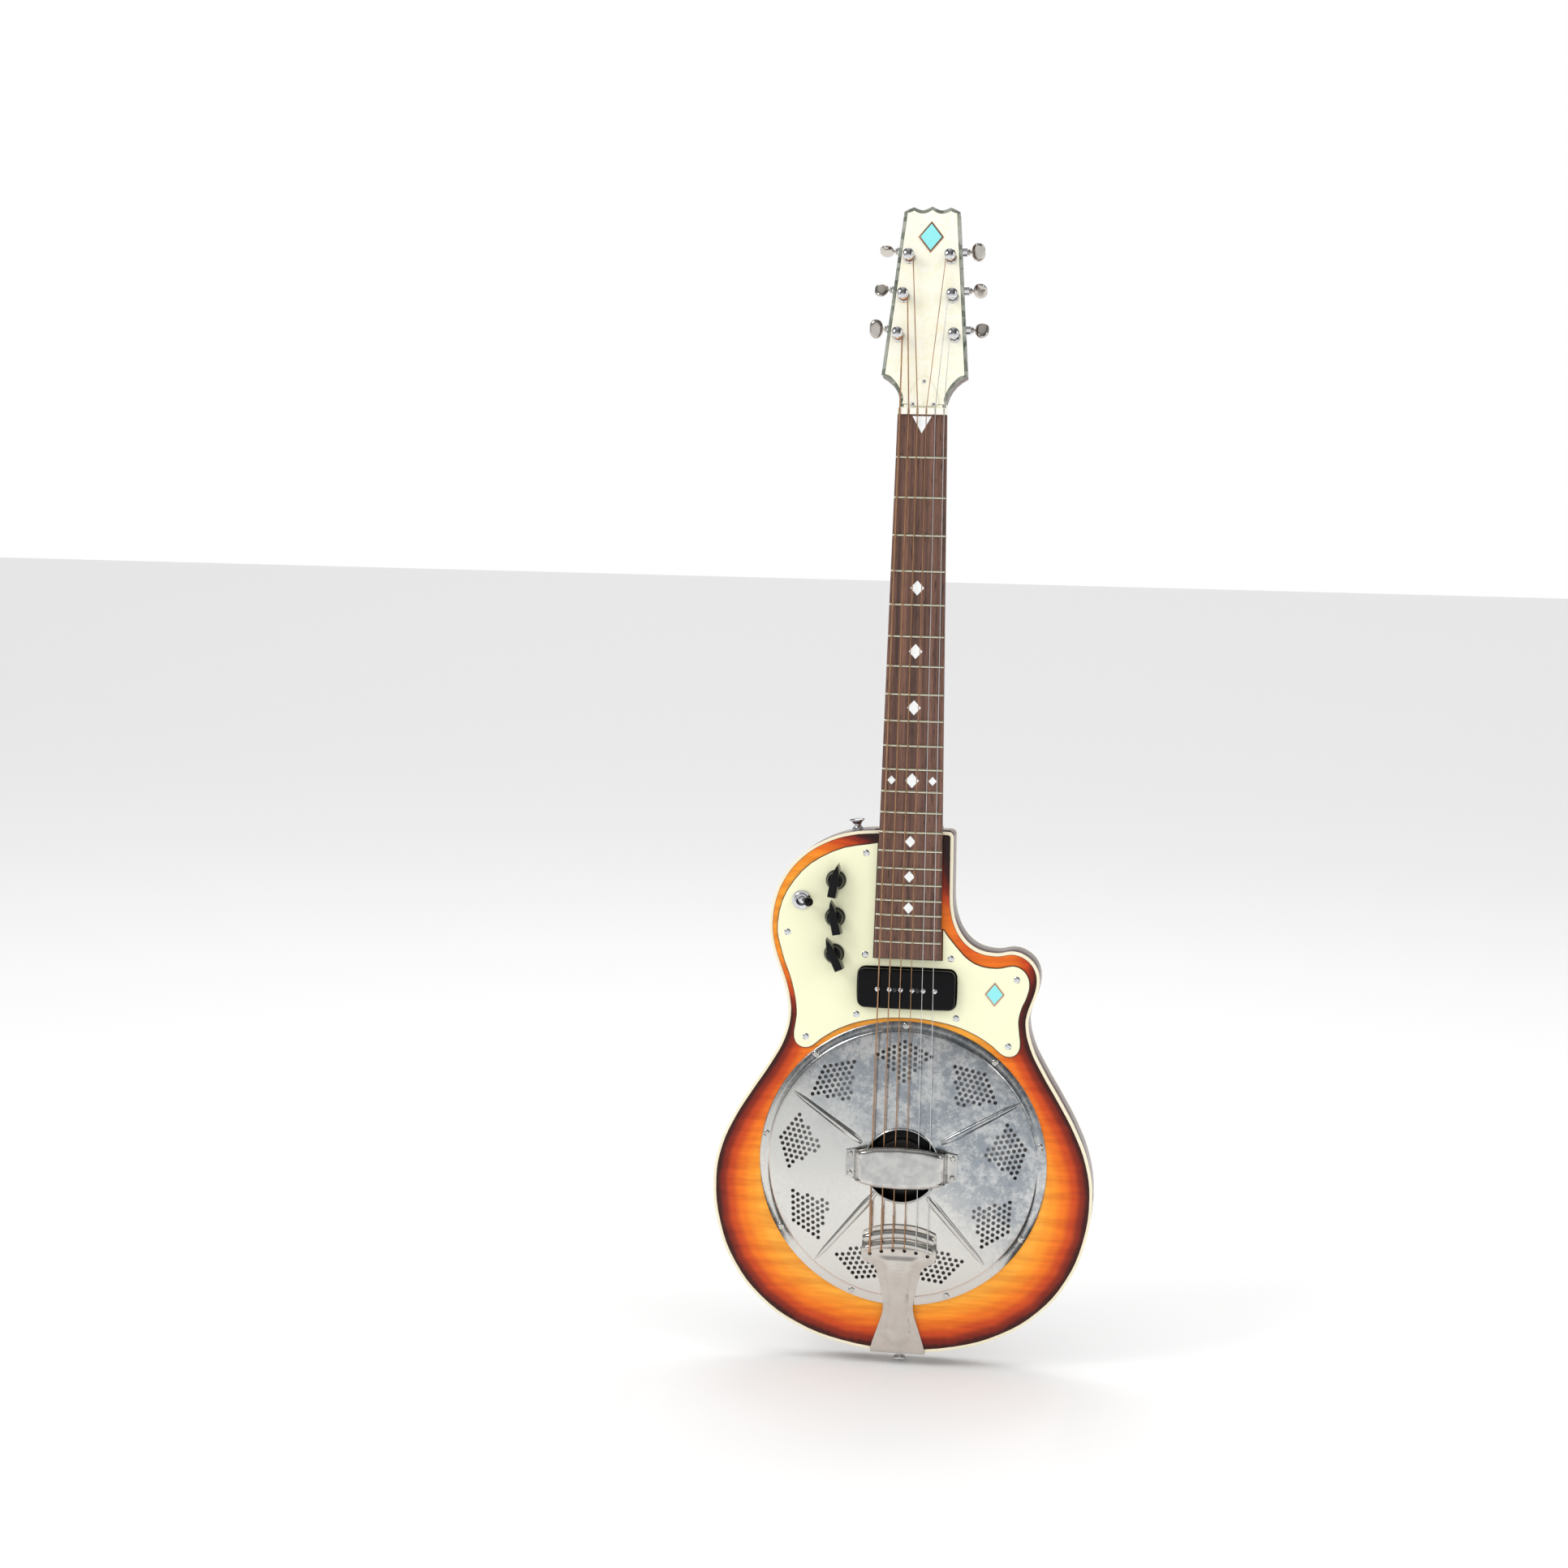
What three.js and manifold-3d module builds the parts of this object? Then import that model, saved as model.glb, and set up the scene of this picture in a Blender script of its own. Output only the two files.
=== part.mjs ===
// Electric resonator guitar with a single cutaway, in millimetres, +Z up.
// It stands upright on the end of its tail strap button, the origin, and faces -Y.
//
// The parts are drawn in the guitar's own frame and the whole is turned upright at the end:
//   x runs across the strings towards the cutaway, y runs up the neck from the saddle,
//   z comes out of the face, and the front of the top is z = 0.
// The headstock's parts are drawn in a frame of their own that leans back from the nut.

import * as THREE from 'three';
import { mergeVertices } from 'three/addons/utils/BufferGeometryUtils.js';
import Module from 'manifold-3d';

const wasm = await Module();
wasm.setup();

// ---- driving dimensions ----

const gap = 0.3;                    // left between pieces that touch

const scaleLength = 648;            // saddle to nut
const nutWidth = 42.4;
const nutDepth = 5.4;               // along the strings
const taperPerMm = 22.5 / 648;      // how fast the fingerboard widens towards the body
const fretCount = 21;
const boardEnd = 178;
const boardTop = 9;
const boardBottom = 2.3;
const bodyJoin = 289;               // where the neck leaves the body

const bodyDepth = 40;
const topThickness = 5;
const backThickness = 3.7;
const bindingWidth = 2.5;
const tailLength = 184;             // saddle to the end of the tail strap button

const plateCentreY = -4.2;          // centre of the cover plate, cone and well
const plateRadius = 126.2;
const plateHoleRadius = 30;
const wellRadius = 121.8;
const ledgeRadius = 112;
const ledgeZ = -19;                 // the ledge that the cone's rim rests on
const wellSides = 48;

const guardBottom = gap;
const guardTop = 2.8;

const headTilt = THREE.MathUtils.degToRad(12);
const headOriginZ = 4;
const overlayThickness = 2;
const headThickness = 14;

const saddleString = 15;            // string height over the top, at the saddle
const nutString = 10.8;             // and at the nut
const stringRadii = [0.66, 0.55, 0.45, 0.35, 0.3, 0.3];
const stringSides = 6;
const nutSpacing = 7.6;
const saddleSpacing = 10.15;

const knobX = -64.3;
const knobs = [                     // height up the body, and where the pointer points, in degrees
  { y: 244.2, pointer: -10 },
  { y: 211.7, pointer: 12 },
  { y: 179.6, pointer: 24 },
];
const toggleX = -94.4;
const toggleY = 225.4;
const toggleLean = THREE.MathUtils.degToRad(24);
const togglePivotZ = -1;

const pickupY = 151.6;
const jackY = -30;
const sideMiddle = -bodyDepth / 2;  // where jack and strap buttons sit in the depth of the sides

const tuners = [                    // along the headstock from the nut, and from its centre line
  { along: 69, across: 24.05 },
  { along: 103.9, across: 21.1 },
  { along: 138.5, across: 17.9 },
];
const wormOffset = 11.5;            // the button's axis lies this much further along than the post
const wormHeight = -19.6;
const buttonReach = 22;

// ---- materials ----

function finish(color, roughness, metalness) {
  return new THREE.MeshStandardMaterial({ color, roughness, metalness });
}

const looks = {
  mahogany: () => finish(0x4a2113, 0.35, 0),
  sunburst: () => finish(0xd9651c, 0.2, 0),
  cream: () => finish(0xefe6c8, 0.35, 0),
  rosewood: () => finish(0x5a3a2e, 0.6, 0),
  bone: () => finish(0xf4f0e4, 0.45, 0),
  pearloid: () => finish(0xf3efdc, 0.25, 0),
  greenPearl: () => finish(0x8b9a86, 0.3, 0),
  blackPlastic: () => finish(0x101012, 0.2, 0),
  nickel: () => finish(0xc9c6bd, 0.25, 1),
  chrome: () => finish(0xd9dadd, 0.1, 1),
  steel: () => finish(0x9a9a9c, 0.4, 1),
  aluminium: () => finish(0xc2c4c6, 0.35, 1),
  maple: () => finish(0xc99a62, 0.5, 0),
  bronze: () => finish(0xb87d4c, 0.35, 1),
};

// ---- shape helpers ----

// A closed outline through nodes of { at: [x, y], heading, before, after }: heading is the
// outline's direction there in degrees, and before and after are the lengths of the handles.
// Each stretch between two nodes is drawn in that many steps.
function bezierOutline(nodes, steps) {
  const path = new THREE.Path();
  path.moveTo(...nodes[0].at);
  nodes.forEach((from, i) => {
    const to = nodes[(i + 1) % nodes.length];
    const a = THREE.MathUtils.degToRad(from.heading);
    const b = THREE.MathUtils.degToRad(to.heading);
    path.bezierCurveTo(
      from.at[0] + from.after * Math.cos(a), from.at[1] + from.after * Math.sin(a),
      to.at[0] - to.before * Math.cos(b), to.at[1] - to.before * Math.sin(b),
      to.at[0], to.at[1]);
  });
  return path.getPoints(steps).slice(0, -1);
}

// The outline moved inwards by a distance; outlines run anticlockwise.
function inset(points, distance) {
  return points.map((point, i) => {
    const before = points[(i + points.length - 1) % points.length];
    const after = points[(i + 1) % points.length];
    const along = after.clone().sub(before).normalize();
    return new THREE.Vector2(point.x - along.y * distance, point.y + along.x * distance);
  });
}

function slab(points, bottom, top) {
  const geometry = new THREE.ExtrudeGeometry(new THREE.Shape(points), {
    depth: top - bottom, bevelEnabled: false });
  return geometry.translate(0, 0, bottom);
}

function disc(x, y, radius, bottom, top, sides = 16) {
  const geometry = new THREE.CylinderGeometry(radius, radius, top - bottom, sides);
  return geometry.rotateX(Math.PI / 2).translate(x, y, (bottom + top) / 2);
}

function block(x0, x1, y0, y1, z0, z1) {
  const geometry = new THREE.BoxGeometry(x1 - x0, y1 - y0, z1 - z0);
  return geometry.translate((x0 + x1) / 2, (y0 + y1) / 2, (z0 + z1) / 2);
}

// A turned piece about the z axis, from [radius, z] pairs listed anticlockwise in the half plane.
function turned(profile, sides = 14) {
  const points = profile.map(([radius, z]) => new THREE.Vector2(radius, z));
  return new THREE.LatheGeometry(points, sides).rotateX(Math.PI / 2);
}

// A solid through rings of points, each with the same number of points, with flat ends. The rings
// run clockwise as seen from the first one.
function loft(rings) {
  const count = rings[0].length;
  const positions = rings.flat().flatMap((p) => [p.x, p.y, p.z]);
  const index = [];
  for (let r = 0; r < rings.length - 1; r++) {
    for (let i = 0; i < count; i++) {
      const a = r * count + i;
      const b = r * count + (i + 1) % count;
      index.push(a, b, b + count, a, b + count, a + count);
    }
  }
  const last = (rings.length - 1) * count;
  for (let i = 1; i < count - 1; i++) {
    index.push(0, i + 1, i);
    index.push(last, last + i, last + i + 1);
  }
  const geometry = new THREE.BufferGeometry();
  geometry.setAttribute('position', new THREE.Float32BufferAttribute(positions, 3));
  geometry.setIndex(index);
  return geometry;
}

function solid(geometry) {
  const bare = geometry.clone();
  bare.deleteAttribute('normal');
  bare.deleteAttribute('uv');
  const merged = mergeVertices(bare, 1e-4);
  return new wasm.Manifold(new wasm.Mesh({
    numProp: 3,
    vertProperties: new Float32Array(merged.attributes.position.array),
    triVerts: new Uint32Array(merged.index.array),
  }));
}

function union(...geometries) {
  return geometries.map(solid).reduce((all, next) => all.add(next));
}

function cut(whole, ...tools) {
  return tools.map(solid).reduce((left, tool) => left.subtract(tool), whole);
}

function geometryOf(shape) {
  const { vertProperties, triVerts } = shape.getMesh();
  const geometry = new THREE.BufferGeometry();
  geometry.setAttribute('position', new THREE.Float32BufferAttribute(vertProperties, 3));
  geometry.setIndex(new THREE.Uint32BufferAttribute(triVerts, 1));
  return geometry;
}

function add(group, name, shape, look) {
  const geometry = shape.isBufferGeometry ? shape : geometryOf(shape);
  const mesh = new THREE.Mesh(geometry, looks[look]());
  mesh.name = name;
  group.add(mesh);
  return mesh;
}

// ---- outlines ----

const bodyOutline = bezierOutline([
  { at: [0, -172.5], heading: 0, before: 108, after: 108 },
  { at: [166.5, -26], heading: 90, before: 86, after: 62 },
  { at: [106.3, 124], heading: 90, before: 38, after: 14 },
  { at: [114.9, 162], heading: 90, before: 15, after: 16 },
  { at: [91, 186.9], heading: 180, before: 10, after: 6 },
  { at: [76, 184.8], heading: 180, before: 7, after: 26 },
  { at: [37, 236], heading: 90, before: 30, after: 2 },
  { at: [36.4, 284], heading: 90, before: 2, after: 3 },
  { at: [31.4, bodyJoin], heading: 180, before: 3, after: 2 },
  { at: [-26, bodyJoin - 0.4], heading: 180, before: 2, after: 58 },
  { at: [-122.4, 203], heading: 270, before: 50, after: 30 },
  { at: [-104.3, 124], heading: 270, before: 32, after: 42 },
  { at: [-167.5, -26], heading: 270, before: 62, after: 86 },
], 6);

const guardOutline = bezierOutline([
  { at: [0, 124.6], heading: 0, before: 30, after: 30 },
  { at: [75, 103.8], heading: -37, before: 24, after: 6 },
  { at: [90, 94.6], heading: 0, before: 6, after: 8 },
  { at: [100.3, 108], heading: 95, before: 7, after: 6 },
  { at: [98.4, 127], heading: 90, before: 6, after: 12 },
  { at: [106.9, 159], heading: 90, before: 13, after: 9 },
  { at: [92.5, 175.2], heading: 178, before: 7, after: 5 },
  { at: [77, 172.6], heading: 180, before: 6, after: 17 },
  { at: [44, 188], heading: 131, before: 14, after: 8 },
  { at: [31, 204], heading: 122, before: 6, after: 1 },
  { at: [24, 204], heading: 180, before: 1, after: 2 },
  { at: [24, 278], heading: 90, before: 2, after: 2 },
  { at: [-26, 279], heading: 180, before: 10, after: 44 },
  { at: [-115.7, 204], heading: 270, before: 42, after: 28 },
  { at: [-97, 126], heading: 270, before: 28, after: 5 },
  { at: [-99, 108], heading: 265, before: 5, after: 7 },
  { at: [-88, 94.6], heading: 0, before: 8, after: 6 },
  { at: [-73, 103.8], heading: 37, before: 6, after: 24 },
], 3);

const controlCavity = bezierOutline([
  { at: [-60, 158], heading: 0, before: 12, after: 8 },
  { at: [-45, 172], heading: 90, before: 8, after: 20 },
  { at: [-45, 250], heading: 90, before: 20, after: 8 },
  { at: [-62, 263], heading: 180, before: 8, after: 14 },
  { at: [-108, 222], heading: 268, before: 18, after: 24 },
], 5);

const tailpieceOutline = bezierOutline([
  { at: [24, -180], heading: 90, before: 2, after: 4 },
  { at: [24, -170], heading: 92, before: 2, after: 12 },
  { at: [13.2, -133], heading: 90, before: 16, after: 14 },
  { at: [20, -94], heading: 68, before: 14, after: 2 },
  { at: [31, -90.5], heading: 30, before: 6, after: 2 },
  { at: [33, -84], heading: 90, before: 3, after: 6 },
  { at: [32, -64], heading: 95, before: 6, after: 3 },
  { at: [0, -56.5], heading: 180, before: 18, after: 18 },
  { at: [-32, -64], heading: 265, before: 3, after: 6 },
  { at: [-33, -84], heading: 270, before: 6, after: 3 },
  { at: [-31, -90.5], heading: 330, before: 2, after: 6 },
  { at: [-20, -94], heading: 292, before: 2, after: 14 },
  { at: [-13.2, -133], heading: 270, before: 14, after: 16 },
  { at: [-24, -170], heading: 268, before: 12, after: 2 },
  { at: [-24, -180], heading: 270, before: 4, after: 2 },
], 3);

// Half the headstock, mirrored: concave from the nut to the lower corner, then straight to the
// scalloped end with a peak on each side and one in the middle.
function headOutline() {
  const right = new THREE.Path();
  right.moveTo(19.4, 6.8);
  right.bezierCurveTo(19.6, 20, 26.5, 29.5, 36.8, 35);
  const foot = right.getPoints(6);
  const scallops = [[23.9, 179.2], [20, 181.4], [15.9, 183.2], [12, 181.4], [8.1, 180.6], [4, 181.8]];
  const side = foot.concat(scallops.map(([x, y]) => new THREE.Vector2(x, y)));
  const mirrored = side.map((p) => new THREE.Vector2(-p.x, p.y)).reverse();
  return [...side, new THREE.Vector2(0, 184.1), ...mirrored];
}

function boardWidth(y) {
  return nutWidth + taperPerMm * (scaleLength - y);
}

function stringHeight(y) {
  return saddleString + (nutString - saddleString) * y / scaleLength;
}

// ---- body ----

const neckSlot = () => block(-26.8, 26.8, 186.6, 300, -16.6, 6);
const pickupHole = (bottom) => block(-43.6, 43.6, pickupY - 18.2, pickupY + 18.2, bottom, 6);
const tailScrewHole = () => disc(0, sideMiddle, 2, 150, 190, 12).rotateX(Math.PI / 2);

function bodyCore() {
  const front = -topThickness - gap;
  const back = -bodyDepth + backThickness + gap;
  const jackBore = new THREE.CylinderGeometry(5.6, 5.6, 80, 12).rotateZ(Math.PI / 2);
  const jackCup = new THREE.CylinderGeometry(11.7, 11.7, 10, 20).rotateZ(Math.PI / 2);
  return cut(solid(slab(bodyOutline, back, front)),
    disc(0, plateCentreY, wellRadius, ledgeZ, 1, wellSides),
    disc(0, plateCentreY, ledgeRadius, -bodyDepth - 1, 1, wellSides),
    slab(controlCavity, -31, 1),
    pickupHole(-18),
    neckSlot(),
    block(-60, -40, pickupY - 5, pickupY + 18, -18, 1),
    block(-20, 20, 105, pickupY, -18, 1),
    jackBore.translate(130, jackY, sideMiddle),
    jackCup.translate(168.2, jackY, sideMiddle),
    tailScrewHole(),
    upperButtonPlace(disc(0, 0, 2, -22, 2, 12)));
}

function topPlate() {
  return cut(solid(slab(inset(bodyOutline, bindingWidth + gap), -topThickness, 0)),
    disc(0, plateCentreY, wellRadius, -9, 1, wellSides),
    slab(controlCavity, -9, 1),
    pickupHole(-9),
    neckSlot());
}

function bindingRing(bottom, top) {
  const inner = slab(inset(bodyOutline, bindingWidth), bottom - 1, top + 1);
  return cut(solid(slab(bodyOutline, bottom, top)), inner);
}

function addBody(group) {
  add(group, 'body_core', bodyCore(), 'mahogany');
  add(group, 'top_plate', topPlate(), 'sunburst');
  const back = slab(inset(bodyOutline, bindingWidth + gap), -bodyDepth, -bodyDepth + backThickness);
  add(group, 'back_plate', back, 'mahogany');
  add(group, 'top_binding', cut(bindingRing(-topThickness, 0), neckSlot()), 'cream');
  add(group, 'back_binding', bindingRing(-bodyDepth, -bodyDepth + backThickness), 'cream');
}

// ---- strap buttons and jack ----

const strapButtonLength = 9.4;
const strapButtonProfile = [
  [0, 0], [5.4, 0], [4.6, 1.4], [3.6, 3.8], [4.2, 6.2], [7, 7.6], [7, 8.4], [4.6, strapButtonLength],
  [0, strapButtonLength]];

function strapButton() {
  return union(turned(strapButtonProfile), disc(0, 0, 1.6, -20, 1, 8));
}

function upperButtonPlace(geometry) {
  return geometry.rotateX(-Math.PI / 2).rotateZ(THREE.MathUtils.degToRad(6))
    .translate(-49.3, 287.1, sideMiddle);
}

function addStrapButtons(group) {
  const tail = geometryOf(strapButton()).rotateX(Math.PI / 2);
  add(group, 'strap_button_tail', tail.translate(0, strapButtonLength - tailLength, sideMiddle), 'chrome');
  add(group, 'strap_button_upper', upperButtonPlace(geometryOf(strapButton())), 'chrome');
}

function addJack(group) {
  const sleeve = turned([
    [3.3, 0], [5.2, 0], [5.2, 21.6], [11.2, 21.6], [11.2, 23.4], [6.4, 23.4], [5.6, 24.4],
    [3.3, 24.4], [3.3, 0]]);
  add(group, 'output_jack', sleeve.rotateY(Math.PI / 2).translate(142, jackY, sideMiddle), 'chrome');
}

// ---- neck ----

// A D-shaped ring across the neck at y: flat on top, half an ellipse below.
function neckRing(y, halfWidth, depth, top) {
  const ring = [];
  const steps = 8;
  for (let i = 0; i <= steps; i++) {
    const angle = Math.PI * i / steps;
    ring.push(new THREE.Vector3(halfWidth * Math.cos(angle), y, top - depth * Math.sin(angle)));
  }
  return ring;
}

function headPlace(geometry) {
  return geometry.rotateX(-headTilt).translate(0, scaleLength, headOriginZ);
}

function neck() {
  const top = boardBottom - gap;
  const stations = [                // y, depth below the fingerboard
    [bodyJoin + gap, 36], [295, 34.5], [301, 30], [308, 24], [316, 19.5], [326, 17.6], [360, 17],
    [500, 15.8], [620, 14.8], [640, 15], [scaleLength, 16], [scaleLength + nutDepth, 15]];
  const shaft = loft(stations.map(([y, depth]) => neckRing(y, boardWidth(y) / 2 - 0.4, depth, top)));
  const tongue = block(-26.4, 26.4, 187, bodyJoin + 4, -16.2, top);
  const head = headPlace(slab(headOutline(), -headThickness, -overlayThickness - gap));
  const posts = tuners.flatMap(({ along, across }) => [-across, across].map((x) =>
    headPlace(disc(x, along, 4.9, -20, 2, 12))));
  const rodChannel = block(-3.3, 3.3, 200, scaleLength + 20, -8, 6);
  return cut(union(shaft, tongue, head), rodChannel, ...posts);
}

function fingerboard() {
  const camber = 305;
  const rise = (halfWidth) => camber - Math.sqrt(camber * camber - halfWidth * halfWidth);
  const ring = (y, crown, bottom, half) => {
    const points = [new THREE.Vector3(-half, y, bottom), new THREE.Vector3(half, y, bottom)];
    for (let i = 1; i >= -1; i--) {
      const x = half * i;
      points.push(new THREE.Vector3(x, y, crown - rise(Math.abs(x))));
    }
    return points.reverse();
  };
  const nutEnd = scaleLength - gap;
  const board = loft([boardEnd, nutEnd].map((y) =>
    ring(y, boardTop, boardBottom, boardWidth(y) / 2)));
  const frets = [];
  for (let n = 1; n <= fretCount; n++) {
    const y = scaleLength * 2 ** (-n / 12);
    const half = boardWidth(y) / 2 - 0.3;
    frets.push(loft([y - 1, y + 1].map((at) => ring(at, boardTop + 1.1, boardTop - 2.5, half))));
  }
  return union(board, ...frets);
}

function nut() {
  const across = nutWidth / 2;
  const body = union(block(-across, across, scaleLength, scaleLength + nutDepth, boardBottom, nutString + 0.6));
  const slots = stringRadii.map((radius, i) =>
    block(stringX(i, nutSpacing) - radius - gap, stringX(i, nutSpacing) + radius + gap,
      scaleLength - 1, scaleLength + 7, nutString - radius - gap, nutString + 4));
  return cut(body, ...slots);
}

function addNeck(group) {
  add(group, 'neck', neck(), 'mahogany');
  add(group, 'fingerboard', fingerboard(), 'rosewood');
  add(group, 'nut', nut(), 'bone');
  const rod = block(-2.8, 2.8, 201, scaleLength + 1, -7.6, -0.6);
  add(group, 'truss_rod', rod, 'steel');
}

// ---- headstock ----

function tunerHoles(radius) {
  return tuners.flatMap(({ along, across }) => [-across, across].map((x) =>
    disc(x, along, radius, -30, 20, 12)));
}

function addHeadstock(group) {
  const edge = 1.8;
  const outline = headOutline();
  const overlay = cut(solid(slab(inset(outline, edge + gap), -overlayThickness, 0)),
    ...tunerHoles(5.1), block(-3.3, 3.3, 0, 24, -9, 9));
  add(group, 'headstock_overlay', overlay, 'pearloid');
  const ring = cut(solid(slab(outline, -overlayThickness, 0)),
    slab(inset(outline, edge), -9, 9), block(-17, 17, 0, 12, -9, 9));
  add(group, 'headstock_binding', ring, 'greenPearl');
  const cover = bezierOutline([
    { at: [0, 7.2], heading: 0, before: 5, after: 5 },
    { at: [13.4, 9.5], heading: 90, before: 1.5, after: 7 },
    { at: [0, 33.5], heading: 180, before: 5, after: 5 },
    { at: [-13.4, 9.5], heading: 270, before: 7, after: 1.5 },
  ], 5);
  add(group, 'truss_rod_cover', slab(cover, gap, 1.6), 'pearloid');
}

// ---- tuners ----

const postProfile = [
  [0, -23], [4.2, -23], [4.2, -17], [3, -16.4], [3, 3.6], [2.7, 7], [3, 10.6], [4.7, 11.8],
  [3.6, 14.2], [0, 15]];

function tunerHousing(side) {
  const body = union(
    block(-7.5, 7.5, -8, wormOffset + 6.5, -25.8, -headThickness - gap),
    disc(0, 0, 4.6, -16, 1.6, 12));
  const sleeve = new THREE.CylinderGeometry(4.4, 4.4, 9, 10).rotateZ(Math.PI / 2);
  return cut(body.add(solid(sleeve.translate(side * 8, wormOffset, wormHeight))),
    disc(0, 0, 3.5, -40, 20, 10),
    disc(0, 0, 4.7, -23.5, -16, 10),
    new THREE.CylinderGeometry(2.5, 2.5, 40, 10).rotateZ(Math.PI / 2)
      .translate(side * 15, wormOffset, wormHeight));
}

function tunerButton(side) {
  const worm = new THREE.CylinderGeometry(2.1, 2.1, buttonReach + 2, 10).rotateZ(Math.PI / 2);
  const collar = new THREE.CylinderGeometry(3, 3.4, 2.4, 10).rotateZ(Math.PI / 2);
  const grip = bezierOutline([
    { at: [0, -8], heading: 0, before: 4, after: 4 },
    { at: [5.8, -1], heading: 85, before: 4, after: 5 },
    { at: [0, 8], heading: 180, before: 4, after: 4 },
    { at: [-5.8, -1], heading: 275, before: 5, after: 4 },
  ], 3).map((p) => new THREE.Vector2(p.x * side, p.y));
  const ordered = side < 0 ? grip.reverse() : grip;
  const paddle = loft([[-2.4, 0.8], [-1.2, 1], [1.2, 1], [2.4, 0.8]].map(([z, size]) =>
    ordered.map((p) => new THREE.Vector3(p.x * size, p.y * size, z))));
  return union(
    worm.translate(side * (buttonReach + 2) / 2, 0, 0),
    collar.translate(side * (buttonReach - 6.6), 0, 0),
    paddle.translate(side * buttonReach, 0, 0));
}

function addTuners(group) {
  const sides = [['bass', -1, [20, -35, 75]], ['treble', 1, [-25, 60, 35]]];
  for (const [sideName, side, turns] of sides) {
    tuners.forEach(({ along, across }, i) => {
      const x = side * across;
      const place = new THREE.Group();
      place.position.set(x, along, 0);
      group.add(place);
      const label = `${sideName}_${i + 1}`;
      add(place, `tuner_housing_${label}`, tunerHousing(side), 'chrome');
      add(place, `tuner_post_${label}`, turned(postProfile, 10), 'chrome');
      const button = add(place, `tuner_button_${label}`, tunerButton(side), 'nickel');
      button.position.set(0, wormOffset, wormHeight);
      button.rotation.x = THREE.MathUtils.degToRad(turns[i]);
    });
  }
}

// ---- pickguard, pickup and controls ----

function pickguard() {
  const boardSlot = loft([boardEnd - 0.4, 300].map((y) => {
    const half = boardWidth(y) / 2 + 0.4;
    return [[half, -5], [-half, -5], [-half, 12], [half, 12]].map(([x, z]) =>
      new THREE.Vector3(x, y, z));
  }));
  const holes = knobs.map(({ y }) => disc(knobX, y, 4.2, -5, 9));
  return cut(solid(slab(guardOutline, guardBottom, guardTop)), boardSlot,
    block(-42.9, 42.9, pickupY - 17.5, pickupY + 17.5, -5, 9),
    disc(toggleX, toggleY, 5.6, -5, 9), ...holes);
}

function roundedBox(halfX, halfY, corner) {
  const shape = new THREE.Path();
  const quarter = Math.PI / 2;
  shape.absarc(halfX - corner, -halfY + corner, corner, -quarter, 0);
  shape.absarc(halfX - corner, halfY - corner, corner, 0, quarter);
  shape.absarc(-halfX + corner, halfY - corner, corner, quarter, 2 * quarter);
  shape.absarc(-halfX + corner, -halfY + corner, corner, 2 * quarter, 3 * quarter);
  return shape.getPoints(4);
}

function addPickup(group) {
  const outer = roundedBox(42.5, 17.1, 6);
  const cover = slab(outer, -4, 11).translate(0, pickupY, 0);
  add(group, 'pickup_cover', cover, 'blackPlastic');
  add(group, 'pickup_coil', block(-36, 36, pickupY - 14, pickupY + 14, -15, -4 - gap), 'steel');
}

function potentiometer() {
  return turned([
    [0, -20], [12.2, -20], [12.2, -9], [10.5, -7.6], [3.8, -7.6], [3.8, 3.6], [5.6, 3.6], [5.6, 5],
    [2.6, 5], [2.6, 9.6], [0, 9.6]]);
}

function chickenHeadKnob() {
  const bottom = 5.4;
  const skirt = turned([[0, bottom], [9, bottom], [8.8, bottom + 1.4], [7.4, bottom + 3.4],
    [6.8, 17.6], [5.6, 19], [0, 19]]);
  const pointer = loft([[bottom + 1, 1.12], [16.4, 0.94], [18, 0.86]].map(([z, size]) =>
    [[0, 14.4], [-3.2, 5], [-3.6, -6], [-3.3, -13.8], [3.3, -13.8], [3.6, -6], [3.2, 5]].map(([x, y]) =>
      new THREE.Vector3(x * size, y * (0.5 + size / 2), z))));
  return cut(union(skirt, pointer), disc(0, 0, 3, 0, 10.4, 14));
}

function toggleSwitch() {
  return union(
    block(-9, 9, -6, 6, -26, -8),
    turned([[0, -12], [5.2, -12], [5.2, guardTop + gap], [8.3, guardTop + gap], [8.3, 4.4], [6.4, 5.6],
      [5, 5.8], [0, 5.8]]));
}

function toggleLever() {
  return turned([
    [0, -1.6], [1.6, -1.6], [1.6, 14.4], [2.4, 14.8], [3.1, 17.6], [3.1, 20.4], [2.2, 22.4], [0, 23]], 10);
}

function addControls(group) {
  add(group, 'pickguard', pickguard(), 'cream');
  knobs.forEach(({ y, pointer }, i) => {
    const pot = add(group, `potentiometer_${i + 1}`, potentiometer(), 'steel');
    pot.position.set(knobX, y, 0);
    const knob = add(group, `control_knob_${i + 1}`, chickenHeadKnob(), 'blackPlastic');
    knob.position.set(knobX, y, 0);
    knob.rotation.z = THREE.MathUtils.degToRad(pointer);
  });
  const leverSweep = loft([[9, 9.6], [-4, 3.4]].map(([z, reach]) =>
    [[-reach, -2.4], [reach, -2.4], [reach, 2.4], [-reach, 2.4]].map(([x, y]) =>
      new THREE.Vector3(x, y, z))).reverse());
  const body = add(group, 'toggle_switch', cut(toggleSwitch(), leverSweep), 'chrome');
  body.position.set(toggleX, toggleY, 0);
  const lever = add(group, 'toggle_lever', toggleLever(), 'blackPlastic');
  lever.position.set(toggleX, toggleY, togglePivotZ);
  lever.rotation.y = toggleLean;
}

// ---- resonator ----

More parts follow.
